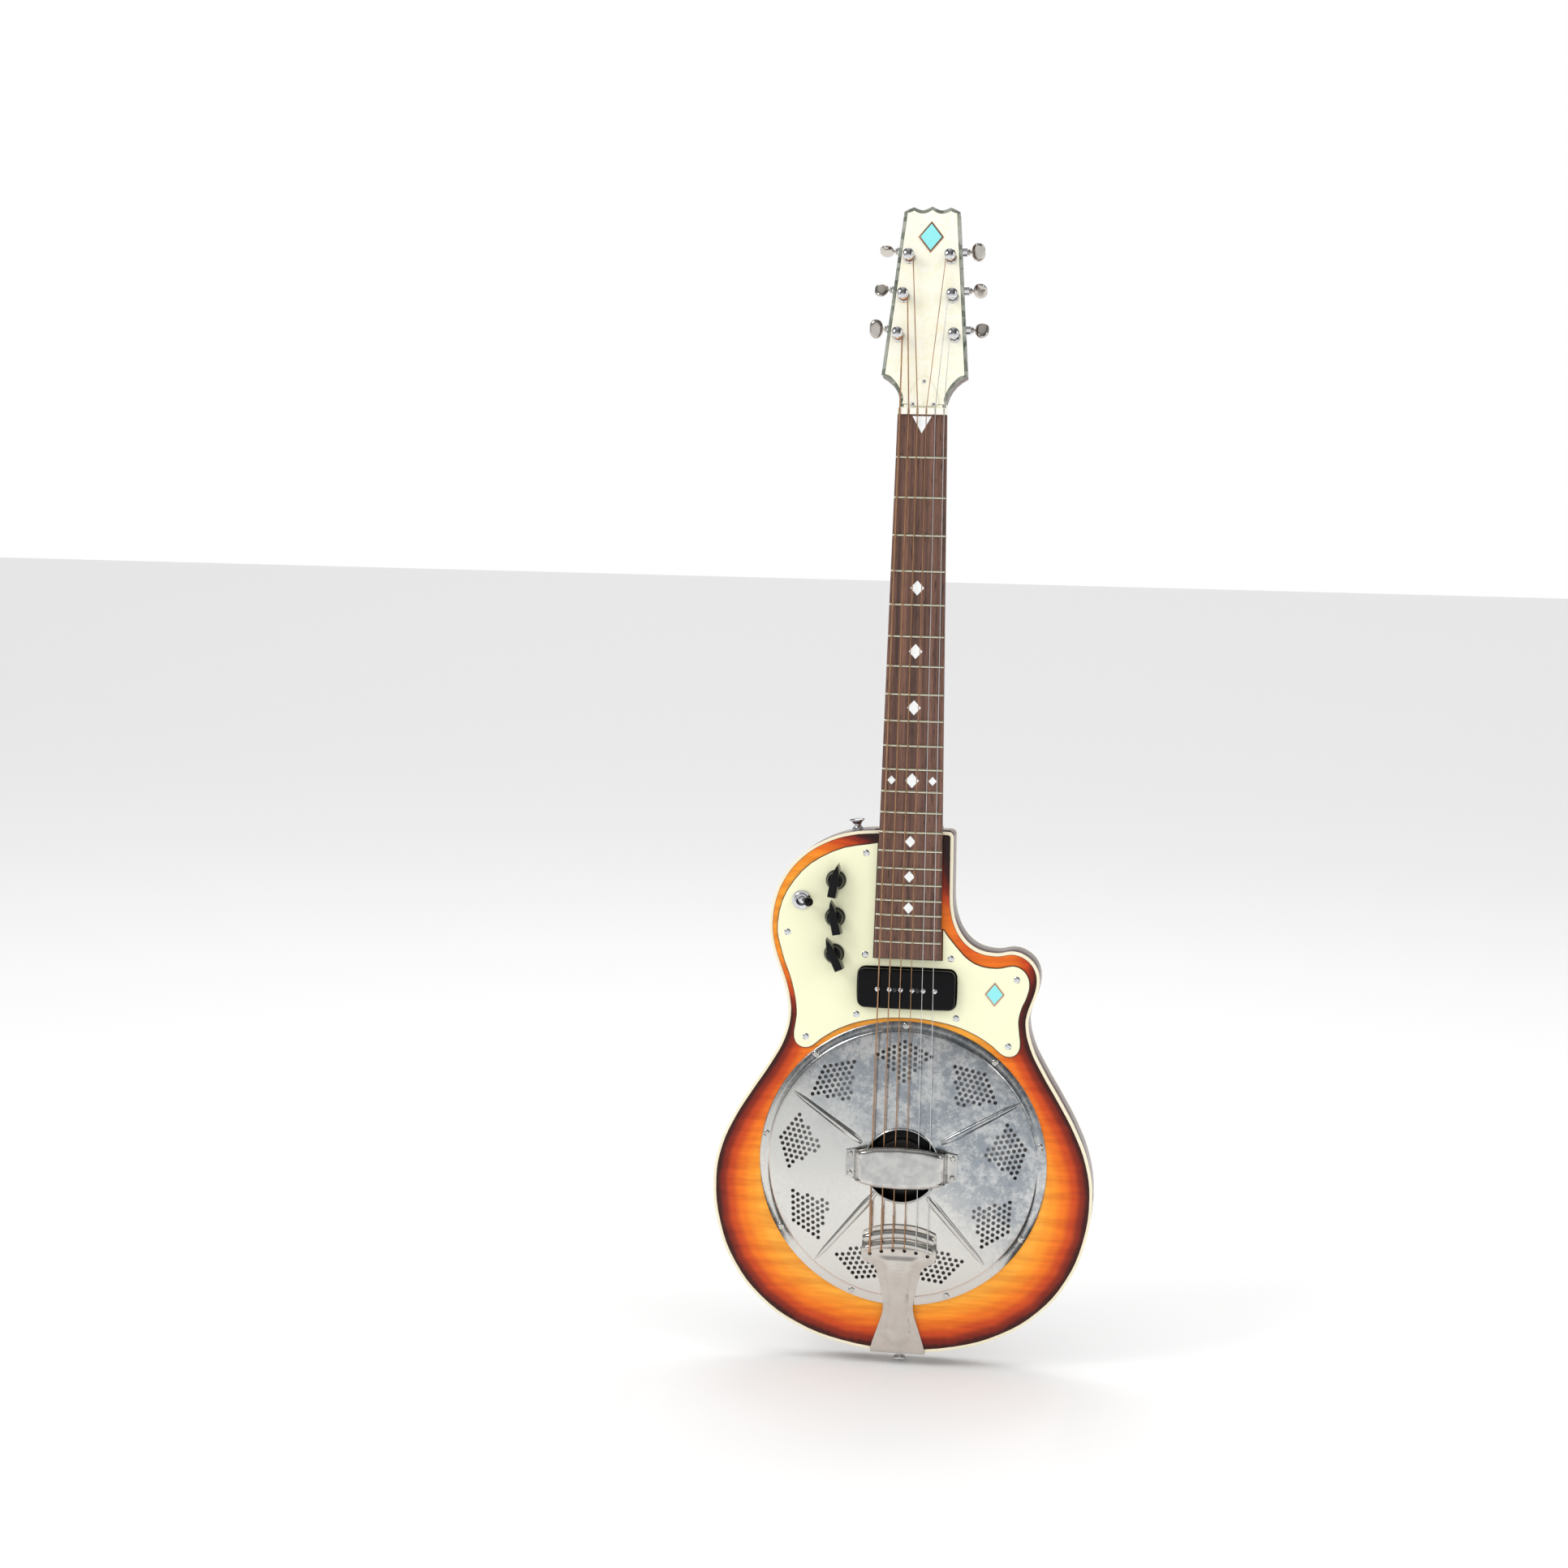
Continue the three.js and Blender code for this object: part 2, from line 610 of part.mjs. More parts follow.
function coverPlate() {
  const wall = 1.2;
  const crown = [
    [plateRadius, gap], [plateRadius, 0.9], [plateRadius - 1, 1.5], [119.6, 2.4], [117.4, 4.2],
    [75, 7.6], [36, 9.6], [plateHoleRadius, 10.6]];
  const under = [
    [plateHoleRadius, 9.4], [36, 9.6 - wall], [75, 7.6 - wall], [116.8, 3], [119, gap], [plateRadius, gap]];
  return turned([...crown, ...under], 48).translate(0, plateCentreY, 0);
}

// A strip of sheet metal that follows a line in the x-z plane and is as long as needed in y.
function bentStrip(line, wall, y0, y1) {
  const outer = line.map(([x, z]) => new THREE.Vector2(x, z));
  const inner = outer.map((point, i) => {
    const before = outer[Math.max(i - 1, 0)];
    const after = outer[Math.min(i + 1, outer.length - 1)];
    const along = after.clone().sub(before).normalize();
    return new THREE.Vector2(point.x + along.y * wall, point.y - along.x * wall);
  }).reverse();
  const strip = new THREE.ExtrudeGeometry(new THREE.Shape([...outer, ...inner]), {
    depth: y1 - y0, bevelEnabled: false });
  return strip.rotateX(Math.PI / 2).translate(0, y1, 0);
}

function handRest() {
  const half = [[49, 11.2], [42.6, 11.6], [40.6, 12.6], [39.8, 15], [39.2, 22.4], [37.6, 25], [34, 26.4],
    [17, 27.2]];
  const line = [...half.map(([x, z]) => [-x, z]), [0, 27.4], ...half.reverse()];
  const arch = solid(bentStrip(line, 1.4, -30, 24));
  const footprint = bezierOutline([
    { at: [0, -22.6], heading: 0, before: 16, after: 16 },
    { at: [39, -17.6], heading: 20, before: 14, after: 2 },
    { at: [49, -15.5], heading: 90, before: 4, after: 4 },
    { at: [49, 8], heading: 90, before: 4, after: 4 },
    { at: [39, 10], heading: 160, before: 2, after: 14 },
    { at: [0, 15], heading: 180, before: 16, after: 16 },
    { at: [-39, 10], heading: 200, before: 14, after: 2 },
    { at: [-49, 8], heading: 270, before: 4, after: 4 },
    { at: [-49, -15.5], heading: 270, before: 4, after: 4 },
    { at: [-39, -17.6], heading: 340, before: 2, after: 14 },
  ], 4);
  return arch.intersect(solid(slab(footprint, 0, 40)));
}

function cone() {
  const rim = ledgeZ + gap;
  return turned([
    [2.6, 0.4], [2.6, -0.8], [24, -0.8], [27, -1.6], [112, -17], [114, rim], [120.8, rim],
    [120.8, rim + 1], [114.6, rim + 1], [112.4, -15.8], [27.4, -0.4], [24, 0.4], [2.6, 0.4],
  ], 32).translate(0, plateCentreY, 0);
}

function addResonator(group) {
  add(group, 'cover_plate', coverPlate(), 'nickel');
  add(group, 'hand_rest', handRest(), 'nickel');
  add(group, 'resonator_cone', cone(), 'aluminium');
  const biscuit = turned([[0, 6.4], [2.4, 6.4], [2.4, 0.7], [23, 0.7], [23, 6.6], [21.6, 7.8], [0, 7.8],
  ], 24);
  add(group, 'biscuit', biscuit.translate(0, plateCentreY, 0), 'maple');
  const screw = turned([[0, -3.6], [3, -3.6], [4.2, -2.2], [4.2, -1.1], [1.9, -1.1], [1.9, 5.8], [0, 5.8],
  ]);
  add(group, 'cone_screw', screw.translate(0, plateCentreY, 0), 'steel');
  const crest = saddleString - Math.max(...stringRadii) - gap;
  add(group, 'saddle', block(-29, 29, -2, 2, 7.8 + gap, crest), 'maple');
}

function tailpiece() {
  const end = -172.5 - gap;
  const line = [                    // y, z of the outer face, from the tab on the end rim to the head
    [end - 1.5, -30], [end - 1.5, 0], [end - 0.6, 1.6], [-168, 2.1], [-152, 2.4], [-140, 3.6],
    [-128, 6.4], [-112, 7.6], [-96, 10], [-88, 12.2], [-78, 12.2], [-70, 11.4], [-62, 12.4], [-50, 12.6]];
  const strip = bentStrip(line, 1.5, -40, 40).rotateZ(Math.PI / 2);
  const sheet = solid(strip).intersect(solid(slab(tailpieceOutline, -34, 20)));
  const keyholes = stringRadii.map((radius, i) =>
    disc(stringX(i, saddleSpacing), tailY(i), 1.9, 0, 20, 10));
  return cut(sheet, ...keyholes, tailScrewHole());
}

// ---- strings ----

function stringX(i, spacing) {
  return (i - 2.5) * spacing;
}

function tailY(i) {
  return -79 - 0.64 * (i - 2.5) ** 2;
}

// Taut from the tailpiece over saddle and nut to the side of its post.
function addStrings(group) {
  const matrix = new THREE.Matrix4().makeRotationX(-headTilt).setPosition(0, scaleLength, headOriginZ);
  stringRadii.forEach((radius, i) => {
    const bass = i < 3;
    const tuner = tuners[bass ? i : 5 - i];
    const side = bass ? -1 : 1;
    const inner = side * (tuner.across - 2.9 - radius - gap);
    const atPost = new THREE.Vector3(inner, tuner.along, 7).applyMatrix4(matrix);
    const route = [
      new THREE.Vector3(stringX(i, saddleSpacing), tailY(i) + 4.6, 13.6 + radius),
      new THREE.Vector3(stringX(i, saddleSpacing), 0, saddleString),
      new THREE.Vector3(stringX(i, nutSpacing), scaleLength + nutDepth, nutString),
      atPost,
    ];
    const rings = route.map((point) => {
      const ring = [];
      for (let k = 0; k < stringSides; k++) {
        const angle = 2 * Math.PI * k / stringSides;
        ring.push(new THREE.Vector3(point.x + radius * Math.cos(angle), point.y,
          point.z + radius * Math.sin(angle)));
      }
      return ring.reverse();
    });
    add(group, `string_${i + 1}`, loft(rings), i < 4 ? 'bronze' : 'steel');
  });
}

// ---- assembly ----

const guitar = new THREE.Group();
addBody(guitar);
addStrapButtons(guitar);
addJack(guitar);
addNeck(guitar);
addPickup(guitar);
addControls(guitar);
addResonator(guitar);
add(guitar, 'tailpiece', tailpiece(), 'nickel');
addStrings(guitar);

const headstock = new THREE.Group();
headstock.position.set(0, scaleLength, headOriginZ);
headstock.rotation.x = -headTilt;
addHeadstock(headstock);
addTuners(headstock);
guitar.add(headstock);

guitar.rotation.x = Math.PI / 2;
guitar.position.set(0, -bodyDepth / 2, tailLength);
const model = new THREE.Group();
model.add(guitar);

export default model;
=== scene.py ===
import math

import bpy
import numpy as np
from mathutils import Matrix, Vector


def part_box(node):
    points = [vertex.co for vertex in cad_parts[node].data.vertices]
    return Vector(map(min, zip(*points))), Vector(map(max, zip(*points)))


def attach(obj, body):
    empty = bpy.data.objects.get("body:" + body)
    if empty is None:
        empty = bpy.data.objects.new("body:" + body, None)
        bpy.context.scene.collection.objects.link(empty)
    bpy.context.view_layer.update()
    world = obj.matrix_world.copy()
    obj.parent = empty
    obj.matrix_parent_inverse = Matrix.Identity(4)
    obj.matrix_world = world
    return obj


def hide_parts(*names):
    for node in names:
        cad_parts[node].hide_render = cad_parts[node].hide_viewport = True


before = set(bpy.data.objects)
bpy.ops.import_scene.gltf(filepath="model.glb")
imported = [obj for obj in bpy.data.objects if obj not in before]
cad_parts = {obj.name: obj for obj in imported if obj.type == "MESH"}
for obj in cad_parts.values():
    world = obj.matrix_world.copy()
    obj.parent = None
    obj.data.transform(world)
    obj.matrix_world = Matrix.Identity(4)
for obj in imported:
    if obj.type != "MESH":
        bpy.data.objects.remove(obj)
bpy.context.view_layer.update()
scene = bpy.context.scene

cameraSettings = {"place": (0.24946, -2.57243, 0.73325), "turn": (85.0486, -1.3649, 8.1982), "lens": 68.07}

cameraData = bpy.data.cameras.new("camera")
cameraData.lens = cameraSettings["lens"]
cameraData.sensor_width = 36
camera = bpy.data.objects.new("camera", cameraData)
camera.location = cameraSettings["place"]
camera.rotation_euler = [math.radians(angle) for angle in cameraSettings["turn"]]
scene.collection.objects.link(camera)
scene.camera = camera

# Pieces are modelled in mm, lying on their backs: x across, y up the neck from the saddle, z out of the face.
# upright then stands them in the frame, and leaning does the same for what sits on the headstock.

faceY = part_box("top_plate")[0].y
saddleZ = sum(corner.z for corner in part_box("saddle")) / 2
neckEnd = {"scaleLength": 648, "headRise": 4, "headTilt": 12}

upright = Matrix.Translation((0, faceY, saddleZ)) @ Matrix.Rotation(math.pi / 2, 4, "X") @ Matrix.Scale(0.001, 4)
leaning = (upright @ Matrix.Translation((0, neckEnd["scaleLength"], neckEnd["headRise"]))
           @ Matrix.Rotation(-math.radians(neckEnd["headTilt"]), 4, "X"))


def only(piece):
    bpy.ops.object.select_all(action="DESELECT")
    piece.select_set(True)
    bpy.context.view_layer.objects.active = piece


def startEdit(piece):
    only(piece)
    bpy.ops.object.mode_set(mode="EDIT")
    bpy.ops.mesh.select_mode(type="VERT")
    bpy.ops.mesh.select_all(action="DESELECT")


def endEdit():
    bpy.ops.object.mode_set(mode="OBJECT")


def pick(piece, test, kind="polygons"):
    # selects what passes the test, from edit mode
    bpy.ops.object.mode_set(mode="OBJECT")
    mesh = piece.data
    for group in (mesh.vertices, mesh.edges, mesh.polygons):
        group.foreach_set("select", [False] * len(group))
    for item in getattr(mesh, kind):
        item.select = test(item)
    bpy.ops.object.mode_set(mode="EDIT")


def clean(piece, distance=0.002, outward=False):
    startEdit(piece)
    bpy.ops.mesh.select_all(action="SELECT")
    bpy.ops.mesh.remove_doubles(threshold=distance)
    if outward:
        bpy.ops.mesh.normals_make_consistent(inside=False)
    endEdit()


def applied(piece, kind, **values):
    only(piece)
    modifier = piece.modifiers.new(kind.title(), kind)
    for key, value in values.items():
        setattr(modifier, key, value)
    bpy.ops.object.modifier_apply(modifier=modifier.name)


def bevelled(piece, width, segments=3, angle=35):
    applied(piece, "BEVEL", width=width, segments=segments, limit_method="ANGLE",
            angle_limit=math.radians(angle), miter_outer="MITER_ARC")


def boolean(piece, operation, *tools):
    for tool in tools:
        applied(piece, "BOOLEAN", operation=operation, object=tool, solver="MANIFOLD")
        bpy.data.objects.remove(tool)


def joined(name, pieces):
    bpy.ops.object.select_all(action="DESELECT")
    for piece in pieces:
        piece.select_set(True)
    bpy.context.view_layer.objects.active = pieces[0]
    if len(pieces) > 1:
        bpy.ops.object.join()
    pieces[0].name = name
    return pieces[0]


def copied(piece, matrix):
    twin = piece.copy()
    twin.data = piece.data.copy()
    bpy.context.scene.collection.objects.link(twin)
    twin.matrix_world = matrix @ piece.matrix_basis
    return twin


def settle(piece, name, material, place, body, slot, *nodes, smooth=35):
    # stands the piece in the frame and hands it to its body
    piece.name = name
    piece.matrix_world = place @ piece.matrix_basis
    only(piece)
    bpy.ops.object.transform_apply(location=True, rotation=True, scale=True)
    if smooth:
        bpy.ops.object.shade_smooth_by_angle(angle=math.radians(smooth))
    piece.data.materials.clear()
    piece.data.materials.append(material)
    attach(piece, body)
    if nodes:
        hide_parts(*nodes)
    return piece


def box(low, high):
    size = [h - l for l, h in zip(low, high)]
    middle = [(l + h) / 2 for l, h in zip(low, high)]
    bpy.ops.mesh.primitive_cube_add(size=1, location=middle, scale=size)
    bpy.ops.object.transform_apply(location=True, rotation=True, scale=True)
    return bpy.context.object


def rod(x, y, low, high, radius, sides=32):
    bpy.ops.mesh.primitive_cylinder_add(vertices=sides, radius=radius, depth=high - low,
                                        location=(x, y, (low + high) / 2))
    bpy.ops.object.transform_apply(location=True, rotation=True, scale=True)
    return bpy.context.object


def turned(profile, steps=48):
    # a turned piece: one vertex is drawn out along the profile of (radius, z) and spun about z
    bpy.ops.mesh.primitive_plane_add(size=1)
    piece = bpy.context.object
    bpy.ops.object.mode_set(mode="EDIT")
    bpy.ops.mesh.merge(type="CENTER")
    bpy.ops.transform.translate(value=(profile[0][0], 0, profile[0][1]))
    for before, after in zip(profile, profile[1:]):
        step = (after[0] - before[0], 0, after[1] - before[1])
        bpy.ops.mesh.extrude_region_move(TRANSFORM_OT_translate={"value": step})
    bpy.ops.mesh.select_all(action="SELECT")
    bpy.ops.mesh.spin(steps=steps, angle=2 * math.pi, center=(0, 0, 0), axis=(0, 0, 1))
    endEdit()
    clean(piece, outward=True)
    return piece


def tube(routes, radius, sides=4, resolution=1):
    # round wire along each route; a route's points are (x, y, z) or (x, y, z, radius factor)
    curve = bpy.data.curves.new("wire", "CURVE")
    curve.dimensions = "3D"
    curve.bevel_depth = radius
    curve.bevel_resolution = sides
    curve.resolution_u = resolution
    curve.use_fill_caps = True
    for route in routes:
        spline = curve.splines.new("POLY")
        spline.points.add(len(route) - 1)
        for point, at in zip(spline.points, route):
            point.co = (*at[:3], 1)
            point.radius = at[3] if len(at) > 3 else 1
    piece = bpy.data.objects.new("wire", curve)
    bpy.context.scene.collection.objects.link(piece)
    only(piece)
    bpy.ops.object.convert(target="MESH")
    piece = bpy.context.object
    clean(piece, 0.0005)
    return piece


def flatCurve(loops, low, high, edge=0.3, grow=0, resolution=4, edgeSteps=2):
    # a plate with rounded edges between two heights, from closed loops of (x, y, smooth or sharp)
    curve = bpy.data.curves.new("plate", "CURVE")
    curve.dimensions = "2D"
    curve.fill_mode = "BOTH"
    curve.resolution_u = resolution
    curve.extrude = (high - low) / 2 - edge
    curve.bevel_depth = edge
    curve.bevel_resolution = edgeSteps
    curve.offset = grow - edge
    for loop in loops:
        spline = curve.splines.new("BEZIER")
        spline.bezier_points.add(len(loop) - 1)
        spline.use_cyclic_u = True
        for point, (x, y, kind) in zip(spline.bezier_points, loop):
            point.co = (x, y, 0)
            point.handle_left_type = point.handle_right_type = kind
    piece = bpy.data.objects.new("plate", curve)
    bpy.context.scene.collection.objects.link(piece)
    piece.location.z = (low + high) / 2
    only(piece)
    bpy.ops.object.convert(target="MESH")
    piece = bpy.context.object
    bpy.ops.object.transform_apply(location=True, rotation=True, scale=True)
    clean(piece, 0.0005)
    return piece


def nodeLoops(node, place=upright, side=1, outerOnly=False):
    # the closed outlines of a CAD node's front face (side 1) or back face (-1), with sharp corners marked
    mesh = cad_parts[node].data.copy()
    mesh.transform(place.inverted())
    piece = bpy.data.objects.new("outline", mesh)
    bpy.context.scene.collection.objects.link(piece)
    clean(piece, 0.001)
    level = max(side * v.co.z for v in mesh.vertices)
    pick(piece, lambda face: side * face.normal.z > 0.99 and abs(side * face.center.z - level) < 0.05)
    bpy.ops.mesh.region_to_loop()
    endEdit()
    follows = {}
    for edge in mesh.edges:
        if edge.select:
            a, b = edge.vertices
            follows.setdefault(a, []).append(b)
            follows.setdefault(b, []).append(a)
    loops = []
    while follows:
        start = next(iter(follows))
        ring = [start]
        while True:
            options = follows.pop(ring[-1])
            onward = [v for v in options if v in follows]
            if not onward:
                break
            ring.append(onward[0])
        loops.append([Vector(mesh.vertices[v].co.xy) for v in ring])
    bpy.data.objects.remove(piece)
    if outerOnly:
        loops = [max(loops, key=lambda loop: max(p.x for p in loop) - min(p.x for p in loop))]
    return [[(p.x, p.y, cornerKind(loop, i)) for i, p in enumerate(loop)] for loop in loops]


def cornerKind(loop, i):
    a, b, c = loop[i - 1], loop[i], loop[(i + 1) % len(loop)]
    turn = math.degrees((b - a).angle(c - b, 0))
    return "VECTOR" if turn > 42 else "AUTO"


def newGroup(name, inputs, output="Mask", outputKind="NodeSocketFloat"):
    # a shader node group with named sockets; inputs are (name, socket kind, value)
    tree = bpy.data.node_groups.new(name, "ShaderNodeTree")
    for socketName, kind, value in inputs:
        socket = tree.interface.new_socket(socketName, in_out="INPUT", socket_type=kind)
        if value is not None:
            socket.default_value = value
    tree.interface.new_socket(output, in_out="OUTPUT", socket_type=outputKind)
    return tree, tree.nodes.new("NodeGroupInput").outputs, tree.nodes.new("NodeGroupOutput").inputs[0]


def node(tree, kind, **values):
    made = tree.nodes.new("ShaderNode" + kind)
    for key, value in values.items():
        if hasattr(made, key):
            setattr(made, key, value)
        else:
            made.inputs[key.replace("_", " ")].default_value = value
    return made


def fillRamp(made, stops):
    # stops are (position, colour)
    elements = made.color_ramp.elements
    while len(elements) < len(stops):
        elements.new(0.5)
    for element, (at, colour) in zip(elements, stops):
        element.position = at
        element.color = (*colour, 1)


def patchGroup():
    # soft irregular patches: Size in mm, Bare is how much of the surface they leave out
    tree, given, out = newGroup("patches", [
        ("Size", "NodeSocketFloat", 20.0), ("Stretch", "NodeSocketVector", (1, 1, 1)),
        ("Bare", "NodeSocketFloat", 0.4), ("Softness", "NodeSocketFloat", 0.2),
        ("Roughness", "NodeSocketFloat", 0.6)])
    place = node(tree, "TexCoord")
    stretched = node(tree, "VectorMath", operation="MULTIPLY")
    perMetre = node(tree, "Math", operation="DIVIDE")
    perMetre.inputs[0].default_value = 1000
    noise = node(tree, "TexNoise", Detail=6.0)
    end = node(tree, "Math", operation="ADD")
    spread = node(tree, "MapRange")
    link = tree.links.new
    link(place.outputs["Object"], stretched.inputs[0])
    link(given["Stretch"], stretched.inputs[1])
    link(given["Size"], perMetre.inputs[1])
    link(stretched.outputs[0], noise.inputs["Vector"])
    link(perMetre.outputs[0], noise.inputs["Scale"])
    link(given["Roughness"], noise.inputs["Roughness"])
    link(given["Bare"], end.inputs[0])
    link(given["Softness"], end.inputs[1])
    link(noise.outputs[0], spread.inputs["Value"])
    link(given["Bare"], spread.inputs["From Min"])
    link(end.outputs[0], spread.inputs["From Max"])
    link(spread.outputs[0], out)
    return tree


def pearlGroup():
    # flakes of pearl: each cell has its own shade
    tree, given, out = newGroup("pearl", [
        ("Size", "NodeSocketFloat", 6.0), ("Swirl", "NodeSocketFloat", 0.3)])
    place = node(tree, "TexCoord")
    perMetre = node(tree, "Math", operation="DIVIDE")
    perMetre.inputs[0].default_value = 1000
    warp = node(tree, "TexNoise", Scale=120.0, Detail=3.0)
    mixed = node(tree, "VectorMath", operation="MULTIPLY_ADD")
    swirl = node(tree, "Math", operation="MULTIPLY")
    swirl.inputs[1].default_value = 0.03
    cells = node(tree, "TexVoronoi")
    value = node(tree, "SeparateColor")
    link = tree.links.new
    link(given["Size"], perMetre.inputs[1])
    link(given["Swirl"], swirl.inputs[0])
    link(place.outputs["Object"], warp.inputs["Vector"])
    link(warp.outputs["Color"], mixed.inputs[0])
    link(swirl.outputs[0], mixed.inputs[1])
    link(place.outputs["Object"], mixed.inputs[2])
    link(mixed.outputs[0], cells.inputs["Vector"])
    link(perMetre.outputs[0], cells.inputs["Scale"])
    link(cells.outputs["Color"], value.inputs[0])
    link(value.outputs[0], out)
    return tree


patches = patchGroup()
pearl = pearlGroup()


class Finish:
    # a material being built: layers of colour over a base, then roughness and relief
    def __init__(self, name, colour, roughness, metallic=0.0, coat=0.0, coatRoughness=0.05, gloss=0.5):
        self.material = bpy.data.materials.new(name)
        self.material.use_nodes = True
        self.tree = self.material.node_tree
        self.shader = self.tree.nodes["Principled BSDF"]
        self.shader.inputs["Base Color"].default_value = (*colour, 1)
        self.shader.inputs["Roughness"].default_value = roughness
        self.shader.inputs["Metallic"].default_value = metallic
        self.shader.inputs["Specular IOR Level"].default_value = gloss
        self.shader.inputs["Coat Weight"].default_value = coat
        self.shader.inputs["Coat Roughness"].default_value = coatRoughness
        self.colour = None

    def link(self, start, end):
        self.tree.links.new(start, end)

    def mask(self, group=None, **values):
        made = self.tree.nodes.new("ShaderNodeGroup")
        made.node_tree = group or patches
        for key, value in values.items():
            made.inputs[key].default_value = value
        return made.outputs[0]

    def layer(self, mask, colour, strength=1.0, blend="MIX"):
        mix = self.tree.nodes.new("ShaderNodeMix")
        mix.data_type = "RGBA"
        mix.blend_type = blend
        amount = self.tree.nodes.new("ShaderNodeMath")
        amount.operation = "MULTIPLY"
        amount.inputs[1].default_value = strength
        self.link(mask, amount.inputs[0])
        self.link(amount.outputs[0], mix.inputs[0])
        if self.colour is None:
            mix.inputs[6].default_value = self.shader.inputs["Base Color"].default_value
        else:
            self.link(self.colour, mix.inputs[6])
        mix.inputs[7].default_value = (*colour, 1)
        self.colour = mix.outputs[2]
        self.link(self.colour, self.shader.inputs["Base Color"])
        return self

    def rough(self, mask, low, high):
        spread = self.tree.nodes.new("ShaderNodeMapRange")
        spread.inputs["To Min"].default_value = low
        spread.inputs["To Max"].default_value = high
        self.link(mask, spread.inputs["Value"])
        self.link(spread.outputs[0], self.shader.inputs["Roughness"])
        return self

    def relief(self, mask, height, strength=1.0):
        bump = self.tree.nodes.new("ShaderNodeBump")
        bump.inputs["Distance"].default_value = height / 1000
        bump.inputs["Strength"].default_value = strength
        self.link(mask, bump.inputs["Height"])
        self.link(bump.outputs[0], self.shader.inputs["Normal"])
        return self


def burstFinish():
    # sunburst over flamed maple: the burst attribute is mm in from the rim
    paint = Finish("sunburst", (0.8, 0.3, 0.05), 0.2, gloss=0.3)
    tree = paint.tree
    depth = node(tree, "Attribute", attribute_name="burst")
    scaled = node(tree, "MapRange", From_Max=42.0)
    ramp = node(tree, "ValToRGB")
    stops = [(0.0, (0.018, 0.003, 0.002)), (0.09, (0.05, 0.005, 0.002)), (0.2, (0.24, 0.018, 0.004)),
             (0.36, (0.62, 0.07, 0.006)), (0.56, (0.88, 0.19, 0.008)), (0.8, (0.98, 0.33, 0.02)),
             (1.0, (0.98, 0.42, 0.04))]
    ramp.color_ramp.interpolation = "EASE"
    fillRamp(ramp, stops)
    paint.link(depth.outputs["Fac"], scaled.inputs["Value"])
    paint.link(scaled.outputs[0], ramp.inputs[0])
    paint.colour = ramp.outputs[0]
    flame = paint.mask(Size=19.0, Stretch=(0.3, 1.0, 2.6), Bare=0.42, Softness=0.2, Roughness=0.6)
    fine = paint.mask(Size=5.0, Stretch=(0.15, 1.0, 3.0), Bare=0.35, Softness=0.4, Roughness=0.7)
    paint.layer(flame, (0.6, 0.36, 0.26), 0.45, "MULTIPLY")
    paint.layer(fine, (0.78, 0.66, 0.6), 0.4, "MULTIPLY")
    paint.rough(fine, 0.2, 0.27)
    return paint.material


def lacqueredWood(name, dark, light, grain, roughness=0.24, coat=0.2):
    wood = Finish(name, dark, roughness, coat=coat, coatRoughness=0.06)
    bands = wood.mask(Size=14.0, Stretch=(1.0, 1.0, grain), Bare=0.35, Softness=0.35, Roughness=0.6)
    pores = wood.mask(Size=1.1, Stretch=(1.0, 1.0, grain * 0.6), Bare=0.52, Softness=0.12, Roughness=0.6)
    wood.layer(bands, light, 0.85)
    wood.layer(pores, tuple(c * 0.35 for c in dark), 0.6)
    wood.rough(bands, roughness, roughness + 0.08)
    return wood.relief(pores, -0.03, 0.4).material


def rosewoodFinish():
    wood = Finish("rosewood", (0.055, 0.024, 0.017), 0.5)
    streaks = wood.mask(Size=5.5, Stretch=(1.6, 1.0, 0.02), Bare=0.36, Softness=0.3, Roughness=0.62)
    pores = wood.mask(Size=0.9, Stretch=(1.0, 1.0, 0.07), Bare=0.55, Softness=0.1, Roughness=0.6)
    broad = wood.mask(Size=60.0, Stretch=(1.0, 1.0, 0.6), Bare=0.4, Softness=0.3)
    wood.layer(streaks, (0.27, 0.125, 0.08), 0.9)
    wood.layer(broad, (0.2, 0.095, 0.07), 0.35)
    wood.layer(pores, (0.03, 0.014, 0.01), 0.85)
    wood.rough(streaks, 0.42, 0.56)
    return wood.relief(pores, -0.06, 0.6).material


# the cloud tint is tarnish on most metals, and painted reflection on the hand rest
def metalFinish(name, colour, roughness, haze=0.12, tarnishAndReflection=None, tarnishAndReflectionShare=0.3):
    metal = Finish(name, colour, roughness, metallic=1.0)
    cloud = metal.mask(Size=9.0, Bare=0.38, Softness=0.34, Roughness=0.65)
    metal.rough(cloud, roughness, roughness + haze)
    if tarnishAndReflection:
        metal.layer(cloud, tarnishAndReflection, tarnishAndReflectionShare)
    scratches = metal.mask(Size=0.8, Stretch=(1.0, 1.0, 0.08), Bare=0.5, Softness=0.2)
    return metal.relief(scratches, -0.01, 0.05).material


